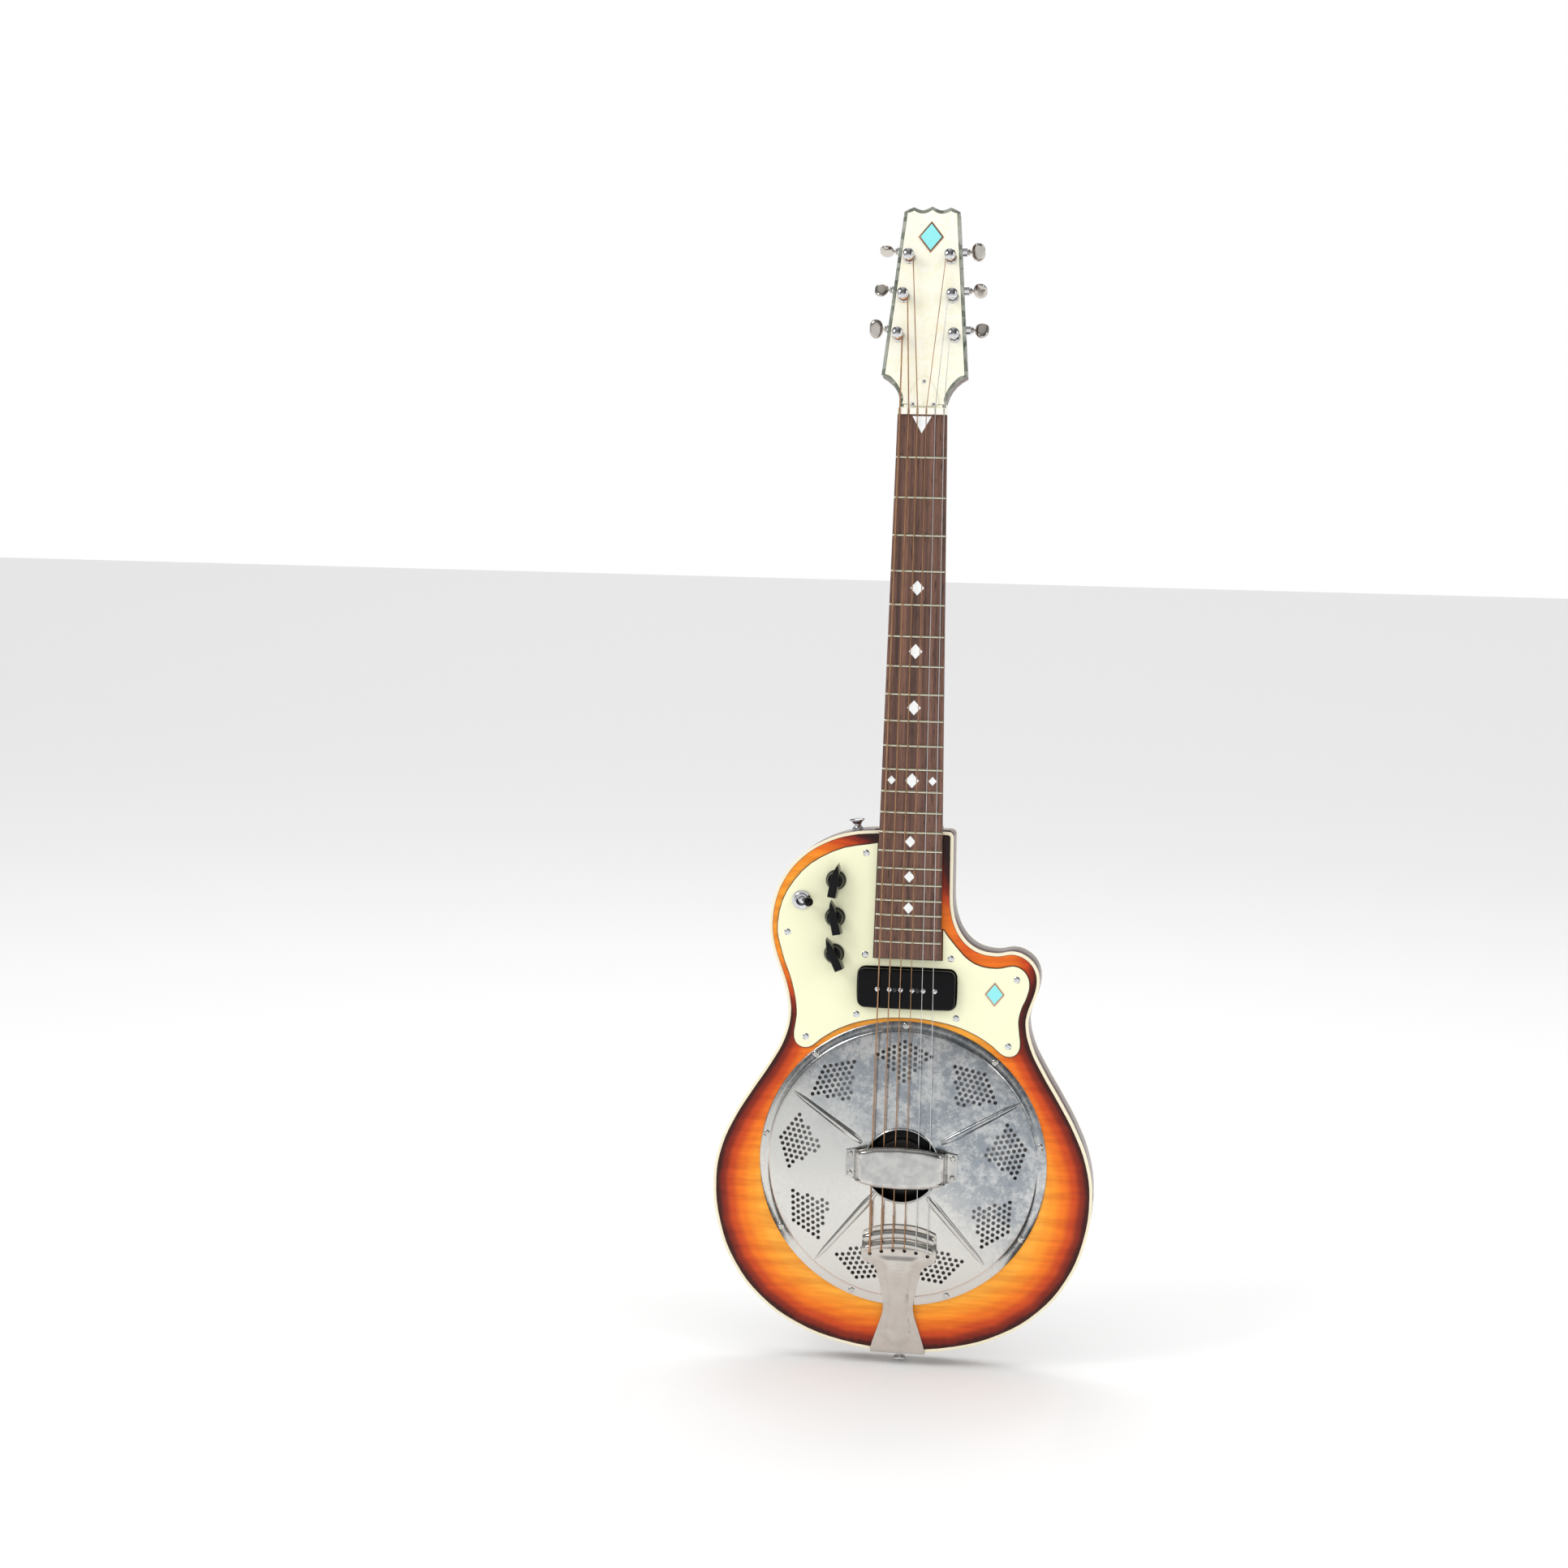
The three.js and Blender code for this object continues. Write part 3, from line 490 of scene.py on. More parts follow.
def wornNickelAndReflectionFinish():
    # nickel plate with tarnish clouds, painted duller and darker blue-grey above and towards the treble side: painted
    # reflection
    metal = Finish("wornNickelAndReflection", (0.72, 0.705, 0.665), 0.2, metallic=1.0)
    tree = metal.tree
    place = node(tree, "TexCoord")
    axes = node(tree, "SeparateXYZ")
    metal.link(place.outputs["Object"], axes.inputs[0])
    # the mask for the painted reflection: it grows above and towards the treble side
    tilt = node(tree, "Math", operation="MULTIPLY_ADD")
    tilt.inputs[1].default_value = 0.75
    metal.link(axes.outputs["X"], tilt.inputs[0])
    metal.link(axes.outputs["Z"], tilt.inputs[2])
    side = node(tree, "MapRange", From_Min=saddleZ - 0.05, From_Max=saddleZ + 0.045, interpolation_type="SMOOTHSTEP")
    metal.link(tilt.outputs[0], side.inputs["Value"])
    clouds = metal.mask(Size=19.0, Bare=0.43, Softness=0.12, Roughness=0.85)
    blots = metal.mask(Size=7.0, Bare=0.5, Softness=0.16, Roughness=0.7)
    # painted reflection: the plate is painted duller above and towards the treble side, and its tarnish clouds darker
    # there
    metal.layer(side.outputs[0], (0.6, 0.62, 0.64), 0.5)
    for patch, shade, strength in ((clouds, (0.27, 0.31, 0.355), 0.75), (blots, (0.2, 0.22, 0.24), 0.4)):
        paintedReflectionClouds = node(tree, "Math", operation="MULTIPLY")
        metal.link(patch, paintedReflectionClouds.inputs[0])
        metal.link(side.outputs[0], paintedReflectionClouds.inputs[1])
        metal.layer(paintedReflectionClouds.outputs[0], shade, strength)
    haze = metal.mask(Size=3.0, Bare=0.4, Softness=0.3, Roughness=0.7)
    metal.rough(haze, 0.16, 0.3)
    swirls = metal.mask(Size=1.2, Stretch=(1.0, 1.0, 0.2), Bare=0.48, Softness=0.2)
    return metal.relief(swirls, -0.012, 0.2).material


def coneFinish():
    # bright spun metal, with painted shade in the well round the biscuit, which lies in deep shadow under the cover
    metal = Finish("coneMetal", (0.9, 0.9, 0.92), 0.35, metallic=0.5)
    tree = metal.tree
    place = node(tree, "TexCoord")
    centred = node(tree, "Mapping")
    centred.inputs["Location"].default_value = (0, 0, -saddleZ + 0.0042)
    flattened = node(tree, "Mapping")
    flattened.inputs["Scale"].default_value = (1, 0, 1)
    metal.link(place.outputs["Object"], centred.inputs["Vector"])
    metal.link(centred.outputs[0], flattened.inputs["Vector"])
    radius = node(tree, "VectorMath", operation="LENGTH")
    metal.link(flattened.outputs[0], radius.inputs[0])
    # painted shade: the cone goes near black inside this radius
    well = node(tree, "MapRange", From_Min=0.042, From_Max=0.037)
    metal.link(radius.outputs["Value"], well.inputs["Value"])
    grooves = node(tree, "TexWave", wave_type="RINGS", rings_direction="SPHERICAL", Scale=140.0)
    metal.link(flattened.outputs[0], grooves.inputs["Vector"])
    metal.rough(grooves.outputs["Fac"], 0.3, 0.42)
    metal.layer(well.outputs[0], (0.006, 0.006, 0.007), 1.0)
    return metal.relief(grooves.outputs["Fac"], 0.05, 0.3).material


def plasticFinish(name, colour, roughness, shade, relief=0.01, gloss=0.5):
    plastic = Finish(name, colour, roughness, gloss=gloss)
    soft = plastic.mask(Size=40.0, Bare=0.35, Softness=0.4)
    fine = plastic.mask(Size=1.5, Bare=0.45, Softness=0.2)
    plastic.layer(soft, shade, 0.5)
    plastic.rough(fine, roughness, roughness + 0.07)
    return plastic.relief(fine, -relief, 0.3).material


def pearlFinish(name, colour, dark, light, size, swirl, spread):
    plastic = Finish(name, colour, 0.18, coat=0.5)
    flakes = plastic.mask(pearl, Size=size, Swirl=swirl)
    small = plastic.mask(pearl, Size=size * 0.45, Swirl=swirl)
    plastic.layer(flakes, dark, spread)
    plastic.layer(small, light, spread)
    plastic.rough(small, 0.14, 0.24)
    return plastic.material


def windingFinish(name, colour, groove, turnsPerMm):
    # the wrap of a wound string runs round it, across the height of the guitar
    metal = Finish(name, colour, 0.3, metallic=1.0)
    tree = metal.tree
    place = node(tree, "TexCoord")
    rings = node(tree, "TexWave", bands_direction="Z", Scale=turnsPerMm * 1000 / 20 * math.pi, Distortion=0.0)
    metal.link(place.outputs["Object"], rings.inputs["Vector"])
    age = metal.mask(Size=12.0, Bare=0.4, Softness=0.3)
    metal.layer(rings.outputs["Fac"], groove, 0.5)
    metal.layer(age, groove, 0.5)
    metal.rough(age, 0.28, 0.42)
    return metal.relief(rings.outputs["Fac"], 0.06, 0.6).material


finishes = {
    "sunburst": burstFinish(),
    "mahoganySides": lacqueredWood("mahoganySides", (0.06, 0.02, 0.012), (0.13, 0.045, 0.025), 0.16),
    "mahoganyBack": lacqueredWood("mahoganyBack", (0.075, 0.022, 0.013), (0.16, 0.05, 0.027), 0.08),
    "mahoganyNeck": lacqueredWood("mahoganyNeck", (0.07, 0.021, 0.013), (0.14, 0.045, 0.025), 0.06),
    "maple": lacqueredWood("maple", (0.5, 0.33, 0.17), (0.62, 0.44, 0.25), 0.2, 0.4, 0.1),
    "rosewood": rosewoodFinish(),
    "cream": plasticFinish("creamBinding", (0.87, 0.8, 0.6), 0.22, (0.8, 0.7, 0.48)),
    "guard": plasticFinish("creamGuard", (0.88, 0.88, 0.62), 0.2, (0.86, 0.84, 0.56)),
    "ply": plasticFinish("darkPly", (0.035, 0.028, 0.022), 0.3, (0.05, 0.04, 0.03)),
    "black": plasticFinish("blackPlastic", (0.002, 0.002, 0.0025), 0.08, (0.004, 0.004, 0.0045), gloss=0.15),
    "bone": plasticFinish("bone", (0.9, 0.87, 0.78), 0.3, (0.84, 0.78, 0.64)),
    "pearloid": pearlFinish("pearloid", (0.94, 0.92, 0.76), (0.9, 0.86, 0.6), (0.98, 0.97, 0.9), 11.0, 0.5, 0.5),
    "edgePearl": pearlFinish("edgePearl", (0.13, 0.15, 0.115), (0.05, 0.06, 0.045), (0.55, 0.57, 0.5),
                             13.0, 0.1, 0.65),
    "inlayPearl": pearlFinish("inlayPearl", (0.9, 0.91, 0.9), (0.7, 0.76, 0.8), (1.0, 1.0, 0.98), 4.0, 0.6, 0.6),
    "chrome": metalFinish("chrome", (0.8, 0.8, 0.82), 0.06, 0.06),
    "nickel": metalFinish("nickel", (0.66, 0.645, 0.61), 0.13, 0.12, (0.5, 0.48, 0.45), 0.4),
    "warmNickel": metalFinish("warmNickel", (0.64, 0.6, 0.55), 0.15, 0.12, (0.5, 0.45, 0.4), 0.5),
    "wornNickelAndReflection": wornNickelAndReflectionFinish(),
    "steel": metalFinish("steel", (0.5, 0.5, 0.51), 0.35, 0.15, (0.3, 0.29, 0.27), 0.4),
    "fretWire": metalFinish("fretWire", (0.84, 0.81, 0.62), 0.2, 0.12, (0.55, 0.52, 0.42), 0.4),
    # painted reflection: the hand rest's dark blue-grey clouds stand in for the mottled reflections of the polished
    # strap
    "restNickel": metalFinish("restNickel", (0.68, 0.665, 0.63), 0.15, 0.12, (0.33, 0.34, 0.35), 0.7),
    "knobBlack": plasticFinish("knobBlack", (0.002, 0.002, 0.0025), 0.05, (0.004, 0.004, 0.0045), gloss=0.2),
    "coneMetal": coneFinish(),
    "bronzeWinding": windingFinish("bronzeWinding", (0.68, 0.4, 0.22), (0.26, 0.13, 0.07), 2.2),
    "stringSteel": metalFinish("stringSteel", (0.76, 0.76, 0.77), 0.18, 0.1),
    # the biscuit's maple is painted near black: painted shade of the deep well under the cover
    "mapleInPaintedShade": lacqueredWood("mapleInPaintedShade", (0.008, 0.006, 0.005), (0.014, 0.01, 0.008), 0.2, 0.6, 0.0),
    "darkSteel": metalFinish("darkSteel", (0.12, 0.12, 0.125), 0.3, 0.15),
    "copper": metalFinish("copper", (0.72, 0.38, 0.22), 0.25, 0.12, (0.4, 0.2, 0.12), 0.4),
    "aqua": plasticFinish("aquaEnamel", (0.27, 0.78, 0.8), 0.2, (0.34, 0.84, 0.84)),
}
print("finishes made:", len(finishes))

# white studio: a pale floor, soft boxes, and cards that only the metal sees
studio = {
    "floor": 80.0, "floorColour": (0.9, 0.9, 0.9), "worldStrength": 1.0,
    "mirrored": {  # direction from -1 to 1 along an axis, and how bright
        "Y": [(-1, 0.66), (-0.35, 0.68), (0.7, 1.0)],
        "X": [(-1, 1.0), (-0.8, 1.1), (-0.5, 0.18), (-0.22, 1.0), (0.1, 0.85), (0.42, 0.15),
              (0.75, 0.9), (1, 1.0)],
        "Z": [(-0.2, 1.0), (0.1, 1.0), (0.34, 0.32), (0.66, 0.28), (0.95, 0.7)]},
    "lamps": [  # place, aim, size across and up, watts
        ((-2.4, -2.4, 2.8), (0, 0, 0.5), 1.4, 1.4, 34), ((2.6, -1.2, 1.8), (0, 0, 0.4), 0.8, 2.0, 13),
        ((0.0, 1.8, 3.0), (0, 0, 0.6), 2.0, 1.0, 18)],
    "cards": [  # place, aim, size across and up, shade
        ((0.1, -1.95, 0.004), (0.1, -1.95, 5), 4.0, 2.5, (0.66, 0.68, 0.7)),
        ((-1.7, -0.9, 0.7), (0, 0, 0.5), 0.5, 2.0, (0.06, 0.06, 0.06)),
        ((1.9, -0.7, 0.6), (0, 0, 0.5), 0.4, 1.8, (0.08, 0.08, 0.08)),
        ((0.42, -0.15, 0.004), (0.42, -0.15, 5), 0.54, 0.24, (0.03, 0.03, 0.03)),
        ((-0.48, -0.15, 0.004), (-0.48, -0.15, 5), 0.54, 0.24, (0.03, 0.03, 0.03))]}

scene.view_settings.view_transform = "Standard"
world = bpy.data.worlds.new("studio")
world.use_nodes = True
sky = world.node_tree
background = sky.nodes["Background"]
background.inputs["Color"].default_value = (1, 1, 1, 1)
# what the polished parts mirror is dimmer in front, with darker bands at each side and above
rayAxes = node(sky, "SeparateXYZ")
sky.links.new(node(sky, "TexCoord").outputs["Generated"], rayAxes.inputs[0])
bands = []
for axis, stops in studio["mirrored"].items():
    fromMinus = node(sky, "MapRange", From_Min=-1)
    band = node(sky, "ValToRGB")
    fillRamp(band, [((at + 1) / 2, (shade, shade, shade)) for at, shade in stops])
    sky.links.new(rayAxes.outputs[axis], fromMinus.inputs["Value"])
    sky.links.new(fromMinus.outputs[0], band.inputs[0])
    bands.append(band.outputs[0])
mirrored = bands[0]
for band in bands[1:]:
    product = node(sky, "Math", operation="MULTIPLY")
    sky.links.new(mirrored, product.inputs[0])
    sky.links.new(band, product.inputs[1])
    mirrored = product.outputs[0]
chosen = node(sky, "Mix")
chosen.inputs[2].default_value = studio["worldStrength"]
sky.links.new(node(sky, "LightPath").outputs["Is Glossy Ray"], chosen.inputs[0])
sky.links.new(mirrored, chosen.inputs[3])
sky.links.new(chosen.outputs[0], background.inputs["Strength"])
scene.world = world

bpy.ops.object.select_all(action="DESELECT")
bpy.ops.mesh.primitive_plane_add(size=studio["floor"], location=(0, 0, -0.001))
floor = bpy.context.object
floor.name = "floor"
floorPaper = Finish("floorPaper", studio["floorColour"], 0.6)
floorPaper.layer(floorPaper.mask(Size=300.0, Bare=0.4, Softness=0.4), (0.9, 0.9, 0.89), 0.4)
floor.data.materials.append(floorPaper.material)


def aimed(thing, place, aim):
    thing.location = place
    thing.rotation_euler = (Vector(aim) - Vector(place)).to_track_quat("-Z", "Y").to_euler()


for place, aim, across, up, watts in studio["lamps"]:
    lampData = bpy.data.lights.new("softBox", "AREA")
    lampData.shape = "RECTANGLE"
    lampData.size, lampData.size_y, lampData.energy = across, up, watts
    lamp = bpy.data.objects.new("softBox", lampData)
    scene.collection.objects.link(lamp)
    aimed(lamp, place, aim)

for i, (place, aim, across, up, shade) in enumerate(studio["cards"]):
    bpy.ops.mesh.primitive_plane_add(size=1)
    card = bpy.context.object
    card.name = f"card_{i}"
    card.scale = (across, up, 1)
    aimed(card, place, aim)
    cardPaint = Finish(f"cardPaint_{i}", shade, 0.9)
    card.data.materials.append(cardPaint.material)
    card.visible_camera = card.visible_shadow = card.visible_diffuse = False
print("studio set")


def depths(name, place=upright):
    # how low and how high a CAD node lies in the bench's z
    inverse = place.inverted()
    heights = [(inverse @ vertex.co).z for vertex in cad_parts[name].data.vertices]
    return min(heights), max(heights)


def softened(name, material, body, slot, width=0.5, segments=3, angle=30, smooth=40, place=upright, flat=0.4):
    # the CAD node's own shape, with its edges eased
    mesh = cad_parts[name].data.copy()
    mesh.transform(place.inverted())
    piece = bpy.data.objects.new(name, mesh)
    scene.collection.objects.link(piece)
    clean(piece, 0.001)
    startEdit(piece)
    bpy.ops.mesh.select_all(action="SELECT")
    bpy.ops.mesh.dissolve_limited(angle_limit=math.radians(flat))
    endEdit()
    bevelled(piece, width, segments, angle)
    return settle(piece, f"{name}_shape", finishes[material], place, body, slot, name, smooth=smooth)


def plate(name, material, slot, place=upright, edge=0.3, side=1, **values):
    # a flat CAD node drawn again with smooth outlines and rounded edges
    low, high = depths(name, place)
    piece = flatCurve(nodeLoops(name, place, side), low, high, edge, **values)
    return settle(piece, f"{name}_shape", finishes[material], place, "guitar", slot, name)


def roundedLoop(x, y, halfAcross, halfUp, corner):
    loop = []
    for turn, (sx, sy) in enumerate(((1, 1), (-1, 1), (-1, -1), (1, -1))):
        for step in range(5):
            angle = math.radians(90 * turn + 22.5 * step)
            loop.append((x + sx * (halfAcross - corner) + corner * math.cos(angle),
                         y + sy * (halfUp - corner) + corner * math.sin(angle), "AUTO"))
    return loop


def diamond(x, y, halfAcross, halfUp):
    return [(x - halfAcross, y, "VECTOR"), (x, y - halfUp, "VECTOR"),
            (x + halfAcross, y, "VECTOR"), (x, y + halfUp, "VECTOR")]


def screwHead(radius, height=0.9, slots=2):
    # a domed head with a cross or a single slot, its underside at z 0
    head = turned([(0, 0), (radius, 0), (radius, height * 0.25), (radius * 0.86, height * 0.62),
                   (radius * 0.5, height * 0.92), (0, height)], 20)
    for i in range(slots):
        cutter = box((-radius * 0.62, -radius * 0.11, height * 0.35), (radius * 0.62, radius * 0.11, height + 1))
        cutter.rotation_euler.z = math.pi / 2 * i
        boolean(head, "DIFFERENCE", cutter)
    return head


def spread(original, places):
    # copies of a piece at (x, y, z, turn in degrees), joined; the original goes
    copies = [copied(original, Matrix.Translation(at[:3]) @ Matrix.Rotation(math.radians(at[3]), 4, "Z"))
              for at in places]
    bpy.data.objects.remove(original)
    return joined("copies", copies)


# body: sides, back, top and bindings
body = {
    "sidesLow": -36.3, "sidesHigh": -5.0, "plateCentre": -4.2, "wellRadius": 121.8, "ledgeRadius": 112.0,
    "ledge": -19.0, "cavity": ((-104, 164), (-46, 258)), "cavityCorner": 15.0,
    "cavityFloor": -32, "routFloor": -18, "pickupHole": ((-42.9, 134.0), (42.9, 169.2)), "pickupFloor": -20,
    "channels": [((-60, 146.6), (-40, 169.6)), ((-20, 105), (20, 151.6))], "neckPocket": ((-33, 230), (33, 290)),
    "jackY": -30.0, "jackZ": -20.0, "jackBore": 5.6}

outline = nodeLoops("back_binding", outerOnly=True)
sides = flatCurve(outline, body["sidesLow"], body["sidesHigh"], 0.1)
sideCutters = [
    rod(0, body["plateCentre"], body["ledge"], 0, body["wellRadius"], 96),
    rod(0, body["plateCentre"], -50, 0, body["ledgeRadius"], 96),
    box((*body["pickupHole"][0], body["pickupFloor"]), (*body["pickupHole"][1], 0)),
    box((*body["neckPocket"][0], body["routFloor"]), (*body["neckPocket"][1], 0))]
cavity = box((*body["cavity"][0], body["cavityFloor"]), (*body["cavity"][1], 0))
corners = cavity.data.vertices
pick(cavity, lambda edge: abs(corners[edge.vertices[0]].co.z - corners[edge.vertices[1]].co.z) > 1, "edges")
bpy.ops.mesh.bevel(offset=body["cavityCorner"], segments=8)
endEdit()
sideCutters.append(cavity)
sideCutters += [box((*low, body["routFloor"]), (*high, 0)) for low, high in body["channels"]]
jackBore = rod(0, 0, 130, 175, body["jackBore"], 24)
jackBore.matrix_world = (Matrix.Translation((0, body["jackY"], body["jackZ"]))
                         @ Matrix.Rotation(math.pi / 2, 4, "Y"))
sideCutters.append(jackBore)
boolean(sides, "DIFFERENCE", *sideCutters)
settle(sides, "body_sides", finishes["mahoganySides"], upright, "guitar", "mahogany_sides", "body_core")

plate("back_plate", "mahoganyBack", "mahogany_back", edge=0.2, side=-1)
plate("top_binding", "cream", "cream_binding", edge=0.4)
plate("back_binding", "cream", "cream_binding", edge=0.4, side=-1)
print("body sides, back and bindings made")

top = {"grid": (100, 134), "size": (340, 470), "centreY": 50.0,
       "bright": [  # where the clear finish reaches nearer the rim: x, y, radius, mm gained
           (-122, 205, 42, 30), (-98, 262, 40, 26), (-108, 160, 26, 12), (44, 214, 22, 22),
           (74, 190, 24, 20), (104, 192, 18, 12)],
       "dark": [(0, 300, 34, 26), (128, 262, 26, 10), (-150, 120, 40, 6), (150, 120, 40, 6)]}
low, high = depths("top_plate")
bpy.ops.mesh.primitive_grid_add(x_subdivisions=top["grid"][0], y_subdivisions=top["grid"][1], size=1,
                                location=(0, top["centreY"], high))
slab = bpy.context.object
slab.scale = (*top["size"], 1)
only(slab)
bpy.ops.object.transform_apply(location=True, rotation=True, scale=True)
startEdit(slab)
bpy.ops.mesh.select_all(action="SELECT")
bpy.ops.mesh.extrude_region_move(TRANSFORM_OT_translate={"value": (0, 0, low - high)})
endEdit()
clean(slab, outward=True)
topOutline = flatCurve(nodeLoops("top_plate"), low - 1, high + 1, 0.0, edgeSteps=0)
boolean(slab, "INTERSECT", topOutline)

rim = []
for (ax, ay, _), (bx, by, _) in zip(outline[0], outline[0][1:] + outline[0][:1]):
    rim += [(ax + (bx - ax) * t / 6, ay + (by - ay) * t / 6) for t in range(6)]
rim = np.array(rim)
depthIn = []
for vertex in slab.data.vertices:
    x, y = vertex.co.xy
    depth = math.sqrt(((rim - (x, y)) ** 2).sum(axis=1).min())
    for cx, cy, radius, gain in top["bright"]:
        depth += gain * math.exp(-((x - cx) ** 2 + (y - cy) ** 2) / radius ** 2)
    for cx, cy, radius, loss in top["dark"]:
        depth -= loss * math.exp(-((x - cx) ** 2 + (y - cy) ** 2) / radius ** 2)
    depthIn.append(max(depth, 0))
burst = slab.data.attributes.new("burst", "FLOAT", "POINT")
burst.data.foreach_set("value", depthIn)
settle(slab, "top", finishes["sunburst"], upright, "guitar", "sunburst_top", "top_plate")
print("top made")

# pickguard: a cream sheet over a dark one, held by small screws
guard = {"ply": 1.0, "step": 0.7, "hole": (42.9, 17.5, 6.4), "holeY": 151.6, "screw": 2.9, "screws": [
    (-38.7, 268.7), (-106.2, 196.6), (-37.4, 179.7), (37.7, 179.1), (95.6, 163.0), (-43.7, 126.7),
    (43.7, 126.9), (-87.8, 104.9), (89.8, 104.4)]}
low, high = depths("pickguard")
guardLoops = nodeLoops("pickguard")
for i, loop in enumerate(guardLoops):  # the pickup's hole follows its rounded corners
    across = max(p[0] for p in loop) - min(p[0] for p in loop)
    if abs(across - 2 * guard["hole"][0]) < 1:
        guardLoops[i] = roundedLoop(0, guard["holeY"], *guard["hole"])
lower = flatCurve(guardLoops, low, low + guard["ply"], 0.1)
settle(lower, "pickguard_ply", finishes["ply"], upright, "guitar", "cream_plastic", "pickguard")
upper = flatCurve(guardLoops, low + guard["ply"], high, 0.45, grow=-guard["step"], edgeSteps=3)
settle(upper, "pickguard_sheet", finishes["guard"], upright, "guitar", "cream_plastic")
guardScrews = spread(screwHead(guard["screw"]),
                     [(x, y, high - 0.2, 37 * i) for i, (x, y) in enumerate(guard["screws"])])
settle(guardScrews, "pickguard_screws", finishes["chrome"], upright, "guitar", "chrome")

# pickup: a moulded cover with its pole screws and two adjusting screws
pickup = {"y": 150.8, "poles": (-25.2, -14.7, -4.8, 5.3, 14.9, 25.1), "poleRadius": 2.1, "bevel": 1.6,
          "fixings": ((-10, 12), (10, 50)), "fixingRadius": 1.9}
softened("pickup_cover", "black", "guitar", "black_plastic", pickup["bevel"], 5, flat=1)
high = depths("pickup_cover")[1]
poles = spread(screwHead(pickup["poleRadius"], 0.8, 1),
               [(x, pickup["y"], high - 0.15, 20 + 31 * i) for i, x in enumerate(pickup["poles"])])
settle(poles, "pickup_poles", finishes["chrome"], upright, "guitar", "steel")
fixings = spread(screwHead(pickup["fixingRadius"], 0.7),
                 [(x, pickup["y"], high - 0.25, turn) for x, turn in pickup["fixings"]])
settle(fixings, "pickup_screws", finishes["darkSteel"], upright, "guitar", "steel")
softened("pickup_coil", "steel", "guitar", "pickup_windings", 1.0)
print("pickguard and pickup made")

# chicken-head knobs: a round skirt, a domed middle and a bar that ends in a beak
knob = {"x": -64.3, "y": (244.2, 211.7, 179.6), "pointer": (-10, 12, 24), "bottom": 5.4,
        "skirt": [(0, 5.4), (9, 5.4), (9, 6.2), (8.7, 7.0), (7.6, 8.6), (7.2, 10), (7.0, 12.4), (6.3, 14.2),
                  (4.8, 15.4), (2.6, 16), (0, 16.1)], "barTop": 19.0, "barSlope": 11, "barTaper": 0.16,
        "bar": [(0, 16.2, "VECTOR"), (-2.4, 10.2, "AUTO"), (-4.0, 3, "AUTO"), (-4.3, -5, "AUTO"),
                (-4.3, -14.6, "VECTOR"), (4.3, -14.6, "VECTOR"), (4.3, -5, "AUTO"), (4.0, 3, "AUTO"),
                (2.4, 10.2, "AUTO")]}
for i, (y, pointer) in enumerate(zip(knob["y"], knob["pointer"])):
    name = f"control_knob_{i + 1}"
    skirt = turned(knob["skirt"], 40)
    barBottom = knob["bottom"] + 1.2
    bar = flatCurve([knob["bar"]], barBottom, knob["barTop"], 0.7, edgeSteps=3)
    for vertex in bar.data.vertices:  # the bar narrows and shortens towards its top
        rise = (vertex.co.z - barBottom) / knob["barSlope"]
        vertex.co.x *= 1 - knob["barTaper"] * rise
        vertex.co.y *= 1 - (0.06 if vertex.co.y > 0 else 0.01) * rise
    whole = joined(name, [skirt, bar])
    whole.matrix_world = Matrix.Translation((knob["x"], y, 0)) @ Matrix.Rotation(math.radians(pointer), 4, "Z")
    settle(whole, f"knob_{i + 1}", finishes["knobBlack"], upright, name, "black_plastic", name, smooth=40)
    softened(f"potentiometer_{i + 1}", "steel", "guitar", "steel", 0.3)

# toggle switch: a washer and threaded ring, and a lever with a round tip
toggle = {"place": (-94.4, 225.4), "lean": 24, "pivot": -1.0,
          "lever": [(0, -1.6), (1.5, -1.6), (1.5, 14.2), (2.2, 14.4), (3.4, 15.6), (4.1, 17.4), (4.2, 19.0),
                    (3.8, 20.9), (2.8, 22.3), (1.4, 22.9), (0, 23)],
          "ring": [(0, 3.4), (2.2, 3.2), (4.7, 2.4), (4.7, 5.4), (5.0, 5.8), (5.7, 5.8), (6.4, 5.4), (6.4, 4.5),
                   (8.0, 4.4), (8.3, 4.1), (8.3, 3.1), (5.4, 3.1), (5.4, -11), (0, -11)],
          "block": ((-9, -6, -26), (9, 6, -11))}
ring = turned(toggle["ring"], 48)
ring.location.xy = toggle["place"]
settle(ring, "toggle_ring", finishes["chrome"], upright, "guitar", "chrome", "toggle_switch")
switchBlock = box(*toggle["block"])
bevelled(switchBlock, 1.0)
switchBlock.location.xy = toggle["place"]
settle(switchBlock, "toggle_block", finishes["steel"], upright, "guitar", "chrome")
lever = turned(toggle["lever"], 32)
lever.matrix_world = (Matrix.Translation((*toggle["place"], toggle["pivot"]))
                      @ Matrix.Rotation(math.radians(toggle["lean"]), 4, "Y"))
settle(lever, "toggle_tip", finishes["knobBlack"], upright, "toggle_lever", "black_plastic", "toggle_lever",
       smooth=50)
print("controls made")

# fingerboard, frets and inlays
board = {"end": 178.0, "nutHalf": 21.2, "taper": 22.5 / 648 / 2, "top": 9.0, "bottom": 2.3, "crown": 305.0,
         "frets": 21, "fretRadius": 1.05, "fretRise": 0.35, "fretEnd": 0.5, "diamonds": [  # x, fret, half width
             (0, 5, 6.0), (0, 7, 6.0), (0, 9, 6.0), (0, 12, 6.0), (17.8, 12, 3.6), (-17.8, 12, 3.6),
             (0, 15, 4.7), (0, 17, 4.7), (0, 19, 4.7)], "vInlay": [(-8.3, 646.6), (0, 632), (8.3, 646.6)]}


def boardHalf(y):
    return board["nutHalf"] + (neckEnd["scaleLength"] - y) * board["taper"]


def boardZ(x):
    return board["top"] - x * x / (2 * board["crown"])


def fretY(n):
    return neckEnd["scaleLength"] * 2 ** (-n / 12)


